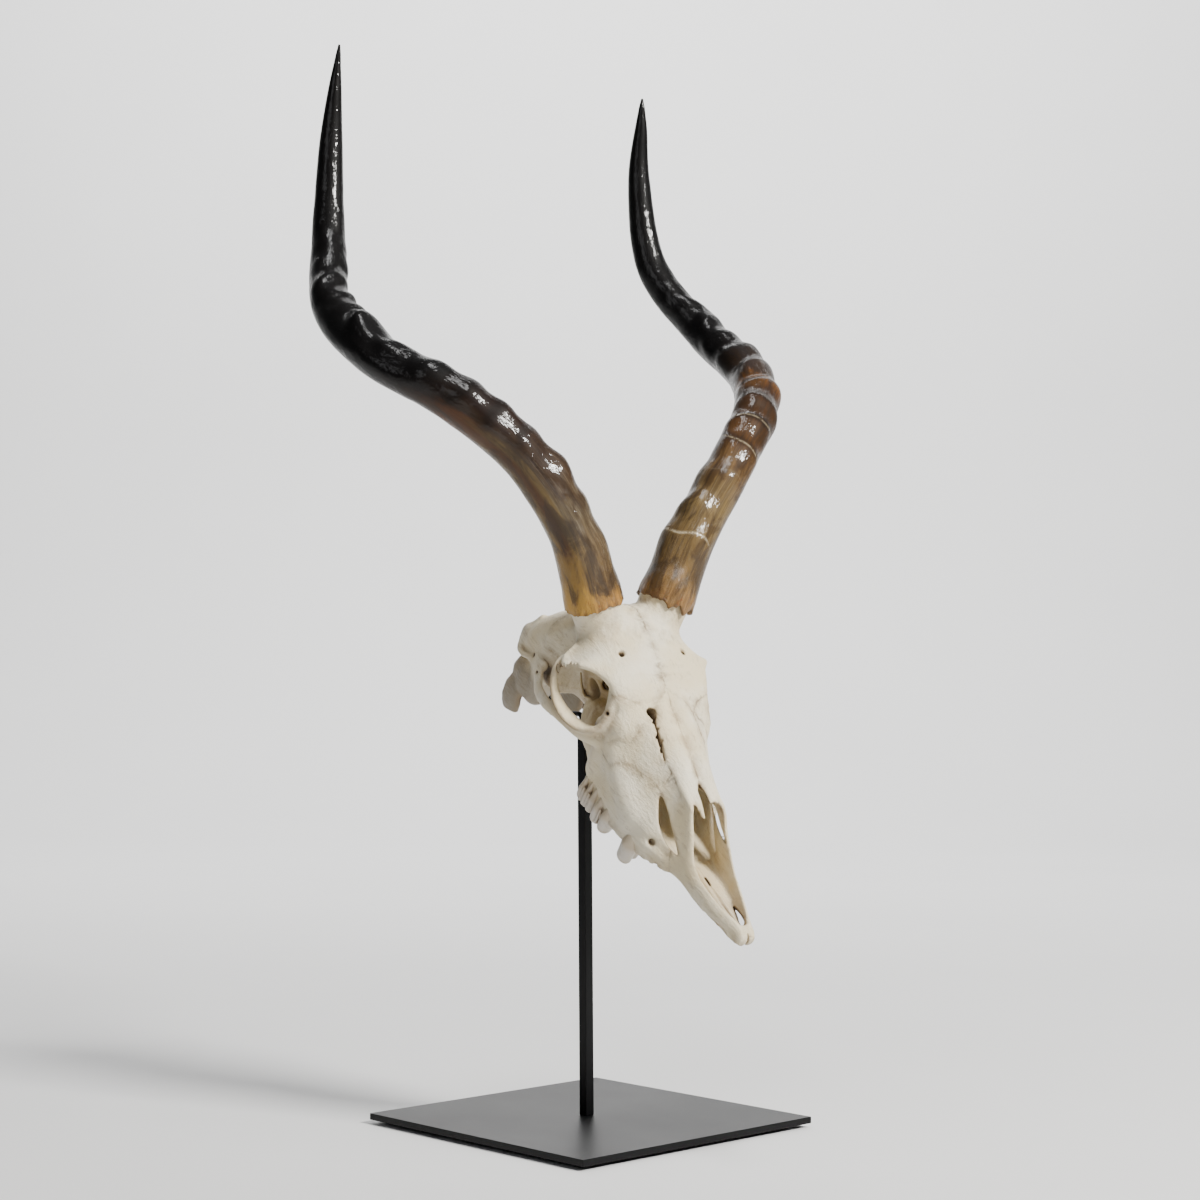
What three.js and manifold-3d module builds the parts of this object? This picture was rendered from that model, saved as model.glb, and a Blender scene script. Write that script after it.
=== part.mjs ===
// Impala skull with both horns, held on a square bar stand.
//
// Millimetres, +Z up. The origin is the centre of the felt pad's underside, where the stand
// meets the table. The base plate's edges run along X and Y, and the skull faces -Y.
//
// The skull, its teeth and its horns are shaped in the skull's own axes and placed together:
// x runs forward from the occipital condyles, y runs to the animal's left, and z runs up from
// the palate. "side" is -1 for the animal's right and 1 for its left.

import * as THREE from 'three';
import { mergeVertices } from 'three/addons/utils/BufferGeometryUtils.js';
import Module from 'manifold-3d';

const wasm = await Module();
wasm.setup();

// ---------------------------------------------------------------- driving dimensions

const PLATE_SIDE = 190;
const PLATE_THICK = 4;
const PAD_INSET = 10;
const PAD_THICK = 2.5;
const PLATE_TOP = PAD_THICK + PLATE_THICK;

const BAR_WIDTH = 6.35;            // square bar of the post
const POST_FOOT = [-1.5, 1.4];     // the post stands slightly off the plate's centre
const POST_LEAN = [-1.6, 1.5];     // how far its top end leans
const POST_TOP = 236;
const ROD_RADIUS = 1.6;            // round rod that carries the skull
const ROD_BEND_Z = 250;            // height of the rod's short level stretch
const ROD_BACK = 34;               // length of that stretch
const ROD_END_Z = 292;

const SKULL_PLACE = new THREE.Vector3(11.6, 60.5, 276.3);
const SKULL_HEADING = -97.6;       // degrees from +X, seen from above
const SKULL_NOSE_DOWN = 36.6;
const SKULL_ROLL = 2;              // the left side is a little higher

const GAP = 0.3;                   // between a piece and the seat that it sits in

// ---------------------------------------------------------------- colours

const finish = (color, roughness, metalness = 0) =>
  new THREE.MeshStandardMaterial({ color, roughness, metalness });
const BONE = finish(0xe6dfcd, 0.6);
const ENAMEL = finish(0xe0d8c3, 0.4);
const HORN = finish(0x3a2616, 0.15);
const BLACK_STEEL = finish(0x18191a, 0.42, 0.6);
const FELT = finish(0x101010, 0.95);

// ---------------------------------------------------------------- solids

const vec = (x, y, z) => new THREE.Vector3(x, y, z);
const radians = THREE.MathUtils.degToRad;

function solid(geometry) {
  const bare = geometry.clone();
  bare.deleteAttribute('normal');
  bare.deleteAttribute('uv');
  const merged = mergeVertices(bare, 1e-4);
  return new wasm.Manifold(new wasm.Mesh({
    numProp: 3,
    vertProperties: new Float32Array(merged.attributes.position.array),
    triVerts: new Uint32Array(merged.index.array),
  }));
}

function geometryOf(manifold) {
  const mesh = manifold.getMesh();
  const geometry = new THREE.BufferGeometry();
  geometry.setAttribute('position', new THREE.BufferAttribute(mesh.vertProperties, 3));
  geometry.setIndex(new THREE.BufferAttribute(mesh.triVerts, 1));
  geometry.computeVertexNormals();
  return geometry;
}

const join = (...solids) => solids.flat().reduce((whole, one) => whole.add(one));
const cut = (body, ...tools) => tools.flat().reduce((rest, one) => rest.subtract(one), body);

// A closed skin over a row of rings that all have the same number of points.
function skin(rings) {
  const count = rings[0].length;
  const points = rings.flat();
  const faces = [];
  for (let i = 0; i + 1 < rings.length; i++) {
    for (let j = 0; j < count; j++) {
      const a = i * count + j;
      const b = i * count + (j + 1) % count;
      faces.push(a, b, b + count, a, b + count, a + count);
    }
  }
  for (const [ring, flip] of [[0, true], [rings.length - 1, false]]) {
    const centre = points.length;
    points.push(rings[ring].reduce((sum, p) => sum.add(p), vec(0, 0, 0)).divideScalar(count));
    for (let j = 0; j < count; j++) {
      const a = ring * count + j;
      const b = ring * count + (j + 1) % count;
      faces.push(centre, flip ? b : a, flip ? a : b);
    }
  }
  const geometry = new THREE.BufferGeometry().setFromPoints(points);
  geometry.setIndex(faces);
  const volume = enclosedVolume(points, faces);
  if (volume < 0) geometry.setIndex(faces.map((_, k) => faces[k - k % 3 + (3 - k % 3) % 3]));
  return geometry;
}

function enclosedVolume(points, faces) {
  let six = 0;
  for (let k = 0; k < faces.length; k += 3) {
    const [a, b, c] = [points[faces[k]], points[faces[k + 1]], points[faces[k + 2]]];
    six += a.dot(vec(0, 0, 0).crossVectors(b, c));
  }
  return six / 6;
}

// A ring square to x: half width, lowest and highest z, and how boxy it is (2 is an ellipse).
function ovalRing(x, half, low, high, boxy = 2.3, count = 14) {
  const ring = [];
  const soft = (value) => Math.sign(value) * Math.abs(value) ** (2 / boxy);
  for (let i = 0; i < count; i++) {
    const angle = (i / count) * 2 * Math.PI;
    const z = (low + high) / 2 + ((high - low) / 2) * soft(Math.sin(angle));
    ring.push(vec(x, half * soft(Math.cos(angle)), z));
  }
  return ring;
}

// A symmetric ring square to x, from a half outline [y, z] that runs from top to bottom on
// the middle line.
function profileRing(x, half) {
  const left = half.map(([y, z]) => vec(x, y, z));
  const right = half.slice(1, -1).reverse().map(([y, z]) => vec(x, -y, z));
  return [...left, ...right];
}

// A limb of bone: a smooth path with a width across and a thickness for each given point.
// "flat" is the direction in which the thickness is measured.
function limb(stops, { flat = vec(0, 0, 1), count = 8, steps = 2 } = {}) {
  const path = new THREE.CatmullRomCurve3(stops.map(([x, y, z]) => vec(x, y, z)), false, 'centripetal');
  const total = (stops.length - 1) * steps;
  const rings = [];
  for (let i = 0; i <= total; i++) {
    const t = i / total;
    const here = path.getPoint(t);
    const along = path.getTangent(t);
    const across = vec(0, 0, 0).crossVectors(flat, along).normalize();
    const thick = vec(0, 0, 0).crossVectors(along, across).normalize();
    const k = Math.min(Math.floor(i / steps), stops.length - 2);
    const blend = i / steps - k;
    const wide = THREE.MathUtils.lerp(stops[k][3], stops[k + 1][3], blend);
    const deep = THREE.MathUtils.lerp(stops[k][4] ?? stops[k][3], stops[k + 1][4] ?? stops[k + 1][3], blend);
    const ring = [];
    for (let j = 0; j < count; j++) {
      const angle = (j / count) * 2 * Math.PI;
      ring.push(here.clone()
        .addScaledVector(across, wide * Math.cos(angle))
        .addScaledVector(thick, deep * Math.sin(angle)));
    }
    rings.push(ring);
  }
  return solid(skin(rings));
}

// An egg with its own radii, turned about its centre. turn is in degrees, in x, y, z order.
function egg(centre, radii, turn, [around, down]) {
  const geometry = new THREE.SphereGeometry(1, around, down);
  geometry.scale(...radii);
  geometry.rotateX(radians(turn[0]));
  geometry.rotateY(radians(turn[1]));
  geometry.rotateZ(radians(turn[2]));
  geometry.translate(...centre);
  return solid(geometry);
}

const mirrored = (points, side) => points.map(([x, y, z, ...rest]) => [x, side * y, z, ...rest]);

// ---------------------------------------------------------------- skull

// Braincase: x, half width, lowest z, highest z.
const BRAINCASE = [
  [3, 13, 20, 44], [8, 29, 15, 53], [18, 34, 14, 64], [32, 35.5, 19, 76],
  [48, 33, 24, 86], [62, 30, 26, 90], [78, 24, 30, 85], [94, 14, 34, 74],
];

// Frontal shield over the eyes: x, z on the middle line, half width, z of its edge.
const FRONTAL = [
  [50, 88, 27, 72], [62, 93, 32, 72], [71, 92.5, 46, 66], [79, 90, 51, 66], [88, 86, 47.5, 71],
  [98, 81, 39.5, 72], [108, 75, 35, 70], [120, 68.5, 31, 61],
];
const FRONTAL_DEPTH = 9;

// Face: x, then the left half of its outline as [y, z] from the ridge to the palate.
const FACE = [
  [106, [[0, 76], [16, 75], [30, 70], [34, 59], [36, 46], [29, 22], [20, -1], [0, 6]]],
  [114, [[0, 71.5], [16, 71], [30, 67], [35, 56], [37, 43], [31, 16], [22, -2], [0, 5]]],
  [126, [[0, 66], [14, 65.5], [26, 60], [33, 46], [34, 32], [31, 10], [22, -3], [0, 4]]],
  [140, [[0, 60.5], [13, 60], [21, 54], [29, 40], [32.5, 26], [31, 6], [22, -3], [0, 4]]],
  [154, [[0, 54.5], [12, 54], [17, 48], [24, 36], [31, 21], [30, 3], [21, -3], [0, 4]]],
  [168, [[0, 48.5], [11, 48], [14.5, 42], [19, 31], [28, 16], [27, 2], [18, -2], [0, 4]]],
  [178, [[0, 44.5], [10.5, 44], [13, 38], [16.5, 28], [25, 14], [24.5, 0], [17, -1], [0, 3.5]]],
  [187, [[0, 40.5], [11, 40.5], [13.5, 36], [15.5, 27], [20.5, 13], [20, 1], [14, 0], [0, 3]]],
  [195, [[0, 31], [11.5, 31], [14, 28], [15.5, 22], [18, 12], [17.5, 2.5], [12, 1.5], [0, 3]]],
  [204, [[0, 22], [12, 22], [14.5, 20], [16, 15], [16.5, 9], [15.5, 3], [10, 1.5], [0, 2.5]]],
  [213, [[0, 16.5], [11, 16.5], [13.5, 15], [14.8, 11], [15, 7], [13.8, 1.5], [9, 0], [0, 1.5]]],
  [224, [[0, 13], [9, 13], [11.5, 12], [12.8, 8.5], [13, 4.5], [11.8, 0], [8, -1.5], [0, 0]]],
  [238, [[0, 10.5], [6, 10.5], [8.5, 9], [9.6, 6], [9.8, 3], [8.5, -1.5], [5, -2.5], [0, -1.5]]],
  [249, [[0, 8], [4, 8], [5.8, 6.5], [6.2, 4], [6.4, 1.5], [5.6, -2], [3, -3], [0, -2.5]]],
  [255, [[0, 4], [2, 4], [3, 3.5], [3.5, 2.5], [3.5, 1], [3, -1], [2, -1.5], [0, -1.5]]],
];

// Nasal passage, from the closed inside forward: x, half width at the top and at the floor,
// z of the floor and of the top.
const NASAL_PASSAGE = [
  [118, 9, 14, 12, 52], [140, 10, 21, 8, 50], [160, 10, 20, 7.5, 44.5], [176, 9.5, 17, 6.5, 38],
  [190, 8.5, 13, 6, 28],
];
const NARIAL_OPENING = [
  [170, 0.6, 0.6, 40, 60], [178, 8, 7, 30, 60], [187, 10.8, 12, 7, 56], [196, 11.4, 12.2, 6.5, 48],
  [205, 12, 11.6, 5.5, 40], [214, 10.8, 10.4, 4.5, 34], [226, 8.6, 8.2, 3, 30], [238, 5.6, 5.4, 2, 26],
  [248, 1.6, 1.8, 2.5, 20],
];
// Two prongs at the end of each nose bone: x, y, z, half width, half thickness.
const NOSE_PRONGS = [
  [[164, 5.5, 48.5, 4.5, 1.8], [182, 5.5, 41.5, 3.4, 1.6], [192, 5.5, 38, 1.2, 1]],
  [[164, 10, 47, 3, 1.8], [178, 10.5, 42, 2, 1.6], [186, 11, 39.5, 0.9, 1]],
];

// Limbs of bone on each side: x, y, z, half width, half thickness.
const ORBIT_RIM = [
  [73, 37, 70, 3, 4], [78, 52, 55, 3.5, 4.5], [85, 53, 47, 3, 4.5], [97, 50, 41, 3, 4.5],
  [109, 44.5, 41, 3, 4.5], [117, 37, 48, 3.5, 4.5], [113, 31, 60, 4, 5], [103, 27, 69, 4, 4],
];
const CHEEK_ARCH = [
  [31, 27, 39, 5, 3.5], [45, 39, 33, 3.5, 2.5], [58, 44, 30, 3.5, 2.2], [72, 47, 32, 4, 2.4],
  [88, 48, 37, 4.5, 3], [108, 42, 37, 5, 3], [124, 27, 37, 4, 4],
];
const CHEEK = [[122, 27, 50, 9], [116, 27, 32, 9], [108, 24, 12, 8]];
const EAR_CAPSULE = [[32, 25, 34, 6], [38, 21, 20, 8], [38, 19, 7, 5]];
const EAR_CREST = [[15, 26, 47, 4, 4], [15, 29, 32, 7, 6], [17, 28, 16, 7, 5]];
const NECK_PROCESS = [
  [16, 28, 22, 6, 5], [15, 28, 6, 6.5, 4], [15.5, 27, -7, 6, 3.2], [21, 25.5, -17.5, 2.5, 2],
];
const THROAT_WING = [[62, 12, 24, 8, 2.5], [80, 13, 8, 9, 2], [100, 15, 4, 9, 2.5]];
const CONDYLE = { centre: [4, 11, 27], radii: [9, 7, 11], nod: 25 };
// On the middle line: the floor of the braincase and the ridge at the back of the head.
const BRAIN_FLOOR = [[4, 0, 23, 12, 5], [30, 0, 24, 13, 6], [70, 0, 24, 9, 6]];
const NAPE_RIDGE = [[12, 0, 60, 16, 4], [7, 0, 50, 10, 4]];

// Core between the eyes: x, half width, lowest z, highest z.
const EYE_WALL = [[66, 15, 22, 84], [82, 13, 18, 82], [98, 14, 8, 74], [112, 18, 6, 66]];
const EYE_WALL_BOXY = 3;

// Ways through the middle: the brain's own hollow, and the throat opening.
const BRAIN_WAY = [[-8, 0, 36, 9], [14, 0, 38, 9], [30, 0, 52, 15], [54, 0, 58, 16]];
const THROAT_WAY = [[66, 0, 8, 8], [92, 0, 14, 10], [116, 0, 22, 10], [124, 0, 24, 8]];
// Eye socket on each side: a deep hollow behind a rounder window, then the way down behind
// the cheek. Turns are about y and z, in degrees.
const EYE_HOLLOWS = [
  { centre: [92, 36, 56], radii: [19, 22, 17], nod: 0, toe: -18 },
  { centre: [97, 50, 56], radii: [17.5, 16, 15.5], nod: 0, toe: -18 },
  { centre: [78, 33, 30], radii: [20, 14, 24], nod: -20, toe: 20 },
];
// Slit beside the nose bone, the holes for nerves and the slit behind the front pad.
const CHEEK_SLIT = [
  [125, 14.5, 62, 0.8, 7], [128, 14.5, 60, 2.6, 8], [138, 14, 55, 1.5, 8], [151, 13, 49, 0.5, 8],
];
const BROW_HOLE = [[91, 22.5, 90, 1.8], [91, 22, 76, 1.8]];
const CHEEK_HOLE = [[188, 31, 11, 2.2], [176, 16, 17, 2]];
const PALATE_SLIT = [[222, 5, -8, 1.4, 5], [222, 5, 8, 1.4, 5]];

// The horn's bony core: at the brow, at the sheath's rim and inside the sheath (x, y, z, radius).
const PEDICLE_FOOT = [66, 18, 70, 20];
const PEDICLE_RIM = [56, 25, 92, 16.3];
const PEDICLE_TOP = [50.6, 29.8, 102.8, 14];
const PEDICLE_SIDES = 11;

function passageRings(stations) {
  return stations.map(([x, topHalf, floorHalf, floor, top]) => profileRing(x, [
    [0, top], [topHalf, top - 1], [(topHalf + floorHalf) / 2, (floor + top) / 2],
    [floorHalf, floor + 1], [0, floor],
  ]));
}

function frontalShield() {
  return solid(skin(FRONTAL.map(([x, middle, half, edge]) => profileRing(x, [
    [0, middle], [half * 0.45, middle * 0.75 + edge * 0.25 + 1.5], [half * 0.85, edge + 4],
    [half, edge], [half * 0.85, edge - FRONTAL_DEPTH * 0.6],
    [half * 0.45, middle - FRONTAL_DEPTH - 5], [0, middle - FRONTAL_DEPTH - 5],
  ]))));
}

// A limb that runs mostly up and down, or through the wall, with one step between its stops.
const upright = (stops, side, count) =>
  limb(mirrored(stops, side), { flat: vec(1, 0, 0), count, steps: 1 });
// A limb that lies flat against the side of the head.
const sideways = (stops, side, count = 6) =>
  limb(mirrored(stops, side), { flat: vec(0, side, 0.1), count });
const turnedEgg = ({ centre: [x, y, z], radii, nod, toe = 0 }, side, detail) =>
  egg([x, side * y, z], radii, [0, nod, side * toe], detail);

// The bones around the brain, the eyes and the nose, before anything is cut out of them.
function skullBlock() {
  const braincase = BRAINCASE.map(([x, half, low, high]) => ovalRing(x, half, low, high));
  const face = FACE.map(([x, outline]) => profileRing(x, outline));
  const eyeWall = EYE_WALL.map(([x, half, low, high]) => ovalRing(x, half, low, high, EYE_WALL_BOXY));
  const pieces = [braincase, face, eyeWall].map((rings) => solid(skin(rings)));
  pieces.push(
    frontalShield(),
    limb(BRAIN_FLOOR, { count: 6 }),
    limb(NAPE_RIDGE, { flat: vec(1, 0, 0), steps: 1 }),
  );
  for (const side of [-1, 1]) {
    pieces.push(
      upright([PEDICLE_FOOT, PEDICLE_RIM, PEDICLE_TOP], side, PEDICLE_SIDES),
      limb(mirrored(ORBIT_RIM, side), { flat: vec(0.3, side, 0.1), count: 7 }),
      sideways(CHEEK_ARCH, side),
      upright(CHEEK, side, 8),
      upright(EAR_CAPSULE, side, 7),
      sideways(EAR_CREST, side),
      sideways(NECK_PROCESS, side),
      sideways(THROAT_WING, side),
      turnedEgg(CONDYLE, side, [10, 6]),
    );
  }
  return join(pieces);
}

function skullHollows() {
  const hollows = [
    solid(skin(passageRings(NASAL_PASSAGE))),
    solid(skin(passageRings(NARIAL_OPENING))),
    limb(BRAIN_WAY, { count: 7 }),
    limb(THROAT_WAY, { steps: 1 }),
  ];
  for (const side of [-1, 1]) {
    hollows.push(
      ...EYE_HOLLOWS.map((hollow) => turnedEgg(hollow, side, [11, 6])),
      leafGap(side),
      limb(mirrored(CHEEK_SLIT, side), { count: 5, steps: 1 }),
      limb(mirrored(CHEEK_HOLE, side), { count: 5, steps: 1 }),
      upright(BROW_HOLE, side, 5),
      upright(PALATE_SLIT, side, 5),
    );
  }
  return hollows;
}

function noseProngs() {
  return [-1, 1].flatMap((side) => NOSE_PRONGS.map((stops) => limb(mirrored(stops, side), { count: 6 })));
}

// The leaf-shaped gap beside the nose, cut straight through from the side.
const LEAF = { back: [165, 33], front: [191, 14.5], over: [182, 29], under: [172, 19] };
const LEAF_INNER = 6;              // how far from the middle line the cut begins and ends
const LEAF_OUTER = 36;

function leafGap(side) {
  const outline = new THREE.Shape();
  outline.moveTo(...LEAF.back);
  outline.quadraticCurveTo(...LEAF.over, ...LEAF.front);
  outline.quadraticCurveTo(...LEAF.under, ...LEAF.back);
  const depth = LEAF_OUTER - LEAF_INNER;
  const geometry = new THREE.ExtrudeGeometry(outline, { depth, bevelEnabled: false, curveSegments: 4 });
  geometry.rotateX(radians(90));
  geometry.translate(0, side > 0 ? LEAF_OUTER : -LEAF_INNER, 0);
  return solid(geometry);
}

// ---------------------------------------------------------------- teeth

// Grinding teeth that are left in the jaw: name, x of the middle, length, width, drop of the
// crown below the palate, number of lobes.
const TOOTH_Y = 24.5;
const TEETH = [
  ['molar_3', 119, 17.4, 11.5, 9.5, 3], ['molar_2', 137, 16.6, 12.5, 9.5, 2],
  ['premolar_4', 166, 9.4, 9.5, 11, 1],
];
const EMPTY_SOCKETS = [[149.5, 25], [155.5, 24.5], [175.5, 22], [180, 21], [185, 19]];
const ROOT_TOP = 8;

// A tapered pillar of tooth round x, hanging from its root. Each level is [z, size, slant].
function pillar(x, halfLength, halfWidth, side, levels, boxy = 2.6) {
  return solid(skin(levels.map(([z, size, slant]) => (
    ovalRing(0, halfWidth * size, -halfLength * size, halfLength * size, boxy, 8)
      .map(({ y, z: run }) => vec(x + run, side * (TOOTH_Y + y), z + slant * y))
  ))));
}

// A tooth is a row of lobes with slanting cusps.
function tooth([, middle, length, width, drop, lobes], side) {
  const step = length / lobes;
  const halfLobe = step * (lobes > 1 ? 0.56 : 0.5);
  const solids = [];
  for (let p = 0; p < lobes; p++) {
    const x = middle + (p - (lobes - 1) / 2) * step;
    solids.push(pillar(x, halfLobe, width / 2, side, [
      [ROOT_TOP, 0.62, 0], [-2, 0.9, 0], [-drop * 0.6, 1, 0], [-drop, 0.5, -0.3],
    ]));
  }
  return join(solids);
}

// The socket that holds a whole tooth, GAP wider all round.
function toothSocket([, middle, length, width], side) {
  const halfLength = length / 2 + 1 + GAP;
  const halfWidth = width / 2 + GAP;
  return pillar(middle, halfLength, halfWidth, side, [[ROOT_TOP + GAP, 0.86, 0], [-6, 1, 0]], 6);
}

function emptySocket([x, y], side) {
  const stops = [[x, side * y, -6, 2.4], [x, side * y, 7, 1.2]];
  return limb(stops, { flat: vec(1, 0, 0), count: 5, steps: 1 });
}

// ---------------------------------------------------------------- horns

// Middle line of a horn, from its rim to its tip: forward, outward, up, radius.
const HORN_LINE = [
  [56, 25, 92, 18.6], [46, 34, 112, 16.3], [35, 45, 131, 15], [9, 75, 163, 14.2],
  [-27, 110, 179, 14], [-76, 138, 178, 13.8], [-135, 141, 175, 12.4], [-191, 124, 192, 10.4],
  [-232, 118, 237, 7.5], [-250, 117, 270, 4], [-260, 116, 290, 0.6],
];
const TIP_STRETCH = { right: 3, left: -5 };   // one horn is worn shorter than the other
// Distance from the rim to each raised ring, and how far the rings stand out.
const HORN_RINGS = [10, 38, 58, 83, 106, 126, 147, 170, 199, 228, 250, 270, 288, 306, 321];
const RING_HEIGHT = 0.2;
const RING_WAIST = 8;              // half the distance over which a ring rises and falls
const RING_LEVEL = 0.35;           // the share of a ring's height that the horn's radius takes in
const HORN_SIDES = 11;
const TIP_STEPS = 8;
const FRONT_OF_HORN = vec(0.45, -0.2, 0.87);   // the rings stand out most on this side
const TIP_WAY = vec(-0.45, 0, 0.89);
const SOCKET_DEPTH = 11;           // how far below the rim the horn's hollow begins

// The radius at a share t of the way along the middle line's stops.
function hornRadius(t) {
  const place = t * (HORN_LINE.length - 1);
  const k = Math.min(Math.floor(place), HORN_LINE.length - 2);
  return THREE.MathUtils.lerp(HORN_LINE[k][3], HORN_LINE[k + 1][3], place - k);
}

function ringSwell(distance) {
  let swell = 0;
  for (const ring of HORN_RINGS) {
    const near = Math.abs(distance - ring) / RING_WAIST;
    if (near < 1) swell = Math.max(swell, Math.cos(near * Math.PI / 2) ** 2);
  }
  return swell;
}

function horn(side) {
  const stops = HORN_LINE.map(([x, y, z]) => vec(x, side * y, z));
  stops.at(-1).addScaledVector(TIP_WAY, side < 0 ? TIP_STRETCH.right : TIP_STRETCH.left);
  const path = new THREE.CatmullRomCurve3(stops, false, 'centripetal');
  const length = path.getLength();
  const front = vec(FRONT_OF_HORN.x, side * FRONT_OF_HORN.y, FRONT_OF_HORN.z);
  // a ring of points at each crest and between crests, then evenly to the tip
  const distances = [0];
  HORN_RINGS.forEach((crest, k) => {
    const before = k ? HORN_RINGS[k - 1] : 0;
    distances.push((before + crest) / 2, crest);
  });
  const last = HORN_RINGS.at(-1);
  for (let k = 1; k <= TIP_STEPS; k++) distances.push(last + ((length - last) * k) / TIP_STEPS);
  const rings = distances.map((distance) => {
    const t = path.getUtoTmapping(0, distance);
    const here = path.getPoint(t);
    const along = path.getTangent(t);
    const ahead = front.clone().addScaledVector(along, -front.dot(along)).normalize();
    const across = vec(0, 0, 0).crossVectors(along, ahead);
    const radius = hornRadius(t);
    const ringed = distance < last + RING_WAIST;
    const swell = ringed ? RING_HEIGHT * (ringSwell(distance) - RING_LEVEL) : 0;
    const ring = [];
    for (let j = 0; j < HORN_SIDES; j++) {
      const angle = (j / HORN_SIDES) * 2 * Math.PI;
      const reach = radius * (1 + swell * (0.55 + 0.45 * Math.cos(angle)));
      ring.push(here.clone()
        .addScaledVector(ahead, reach * Math.cos(angle))
        .addScaledVector(across, reach * Math.sin(angle)));
    }
    return ring;
  });
  return solid(skin(rings));
}

// The hollow in the horn's base that takes the top of the pedicle, GAP wider all round.
function hornSocket(side) {
  const rim = vec(...PEDICLE_RIM);
  const top = vec(...PEDICLE_TOP);
  const along = top.clone().sub(rim).normalize();
  const below = rim.clone().addScaledVector(along, -SOCKET_DEPTH);
  const above = top.clone().addScaledVector(along, GAP);
  return upright([
    [...below, PEDICLE_RIM[3] + GAP + 2], [...rim, PEDICLE_RIM[3] + GAP], [...above, PEDICLE_TOP[3] + GAP],
  ], side, PEDICLE_SIDES);
}

// ---------------------------------------------------------------- stand

function box(x, y, z, low) {
  const geometry = new THREE.BoxGeometry(x, y, z);
  geometry.translate(0, 0, low + z / 2);
  return geometry;
}

function postGeometry() {
  const height = POST_TOP - PLATE_TOP;
  const geometry = box(BAR_WIDTH, BAR_WIDTH, height, 0);
  const place = geometry.attributes.position;
  for (let i = 0; i < place.count; i++) {
    const up = place.getZ(i) / height;
    place.setX(i, place.getX(i) + POST_LEAN[0] * up);
    place.setY(i, place.getY(i) + POST_LEAN[1] * up);
  }
  return geometry;
}

// Where the rod stands on the post, and the level direction in which it is bent back.
const ROD_OFFSET = [-1.2, 1.1];    // from the middle of the post's top
const ROD_FOOT = vec(
  POST_FOOT[0] + POST_LEAN[0] + ROD_OFFSET[0],
  POST_FOOT[1] + POST_LEAN[1] + ROD_OFFSET[1],
  POST_TOP,
);
const ROD_BEND = 3.5;              // radius of its two bends
const ROD_WAY = vec(-Math.cos(radians(SKULL_HEADING)), -Math.sin(radians(SKULL_HEADING)), 0);

// The rod from the post's top to its end inside the skull, or its bore when it is grown.
function rodSolid(grow = 0) {
  const low = ROD_FOOT.clone().setZ(ROD_BEND_Z);
  const high = low.clone().addScaledVector(ROD_WAY, ROD_BACK);
  const lowIn = low.clone().setZ(ROD_BEND_Z - ROD_BEND);
  const lowOut = low.clone().addScaledVector(ROD_WAY, ROD_BEND);
  const highIn = high.clone().addScaledVector(ROD_WAY, -ROD_BEND);
  const highOut = high.clone().setZ(ROD_BEND_Z + ROD_BEND);
  const end = high.clone().setZ(ROD_END_Z + grow);
  const path = new THREE.CurvePath();
  path.add(new THREE.LineCurve3(ROD_FOOT, lowIn));
  path.add(new THREE.QuadraticBezierCurve3(lowIn, low, lowOut));
  path.add(new THREE.LineCurve3(lowOut, highIn));
  path.add(new THREE.QuadraticBezierCurve3(highIn, high, highOut));
  path.add(new THREE.LineCurve3(highOut, end));
  const circle = new THREE.Shape().absarc(0, 0, ROD_RADIUS + grow, 0, 2 * Math.PI);
  const geometry = new THREE.ExtrudeGeometry(circle, {
    steps: 18, extrudePath: path, curveSegments: 4, bevelEnabled: false,
  });
  return solid(geometry);
}

// ---------------------------------------------------------------- assembly

const object = new THREE.Group();

function addMesh(parent, name, geometry, material) {
  const mesh = new THREE.Mesh(geometry, material.clone());
  mesh.name = name;
  parent.add(mesh);
  return mesh;
}

const head = new THREE.Group();
head.position.copy(SKULL_PLACE);
head.rotation.set(radians(SKULL_ROLL), radians(SKULL_NOSE_DOWN), radians(SKULL_HEADING), 'ZYX');
head.updateMatrixWorld(true);
object.add(head);

const padSide = PLATE_SIDE - 2 * PAD_INSET;
addMesh(object, 'felt_pad', box(padSide, padSide, PAD_THICK, 0), FELT);
addMesh(object, 'base_plate', box(PLATE_SIDE, PLATE_SIDE, PLATE_THICK, PAD_THICK), BLACK_STEEL);
const post = addMesh(object, 'post', postGeometry(), BLACK_STEEL);
post.position.set(POST_FOOT[0], POST_FOOT[1], PLATE_TOP);
addMesh(object, 'support_rod', geometryOf(rodSolid()), BLACK_STEEL);

// The rod's bore is cut in the skull's own axes.
const rodBore = geometryOf(rodSolid(GAP));
rodBore.applyMatrix4(head.matrixWorld.clone().invert());

const sockets = [];
for (const side of [-1, 1]) {
  for (const row of TEETH) sockets.push(toothSocket(row, side));
  for (const place of EMPTY_SOCKETS) sockets.push(emptySocket(place, side));
}
const skull = cut(join(cut(skullBlock(), skullHollows()), noseProngs()), sockets, solid(rodBore));
addMesh(head, 'skull', geometryOf(skull), BONE);

for (const [side, name] of [[-1, 'right'], [1, 'left']]) {
  const sheath = cut(horn(side), hornSocket(side));
  addMesh(head, `horn_${name}`, geometryOf(sheath), HORN);
  for (const row of TEETH) {
    addMesh(head, `${row[0]}_${name}`, geometryOf(tooth(row, side)), ENAMEL);
  }
}

export default object;
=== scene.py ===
"""Impala skull with lacquered horns on a black steel stand.

The skull, its teeth and its horns are shaped in the skull's own axes, in millimetres: x runs
forward from the occipital condyles, y runs to the animal's left and z runs up from the palate.
"side" is -1 for the animal's right and 1 for its left. The stand is shaped in the frame's axes.
"""

import itertools
import math

import bmesh
import bpy
import numpy as np
from mathutils import Matrix, Vector


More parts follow.
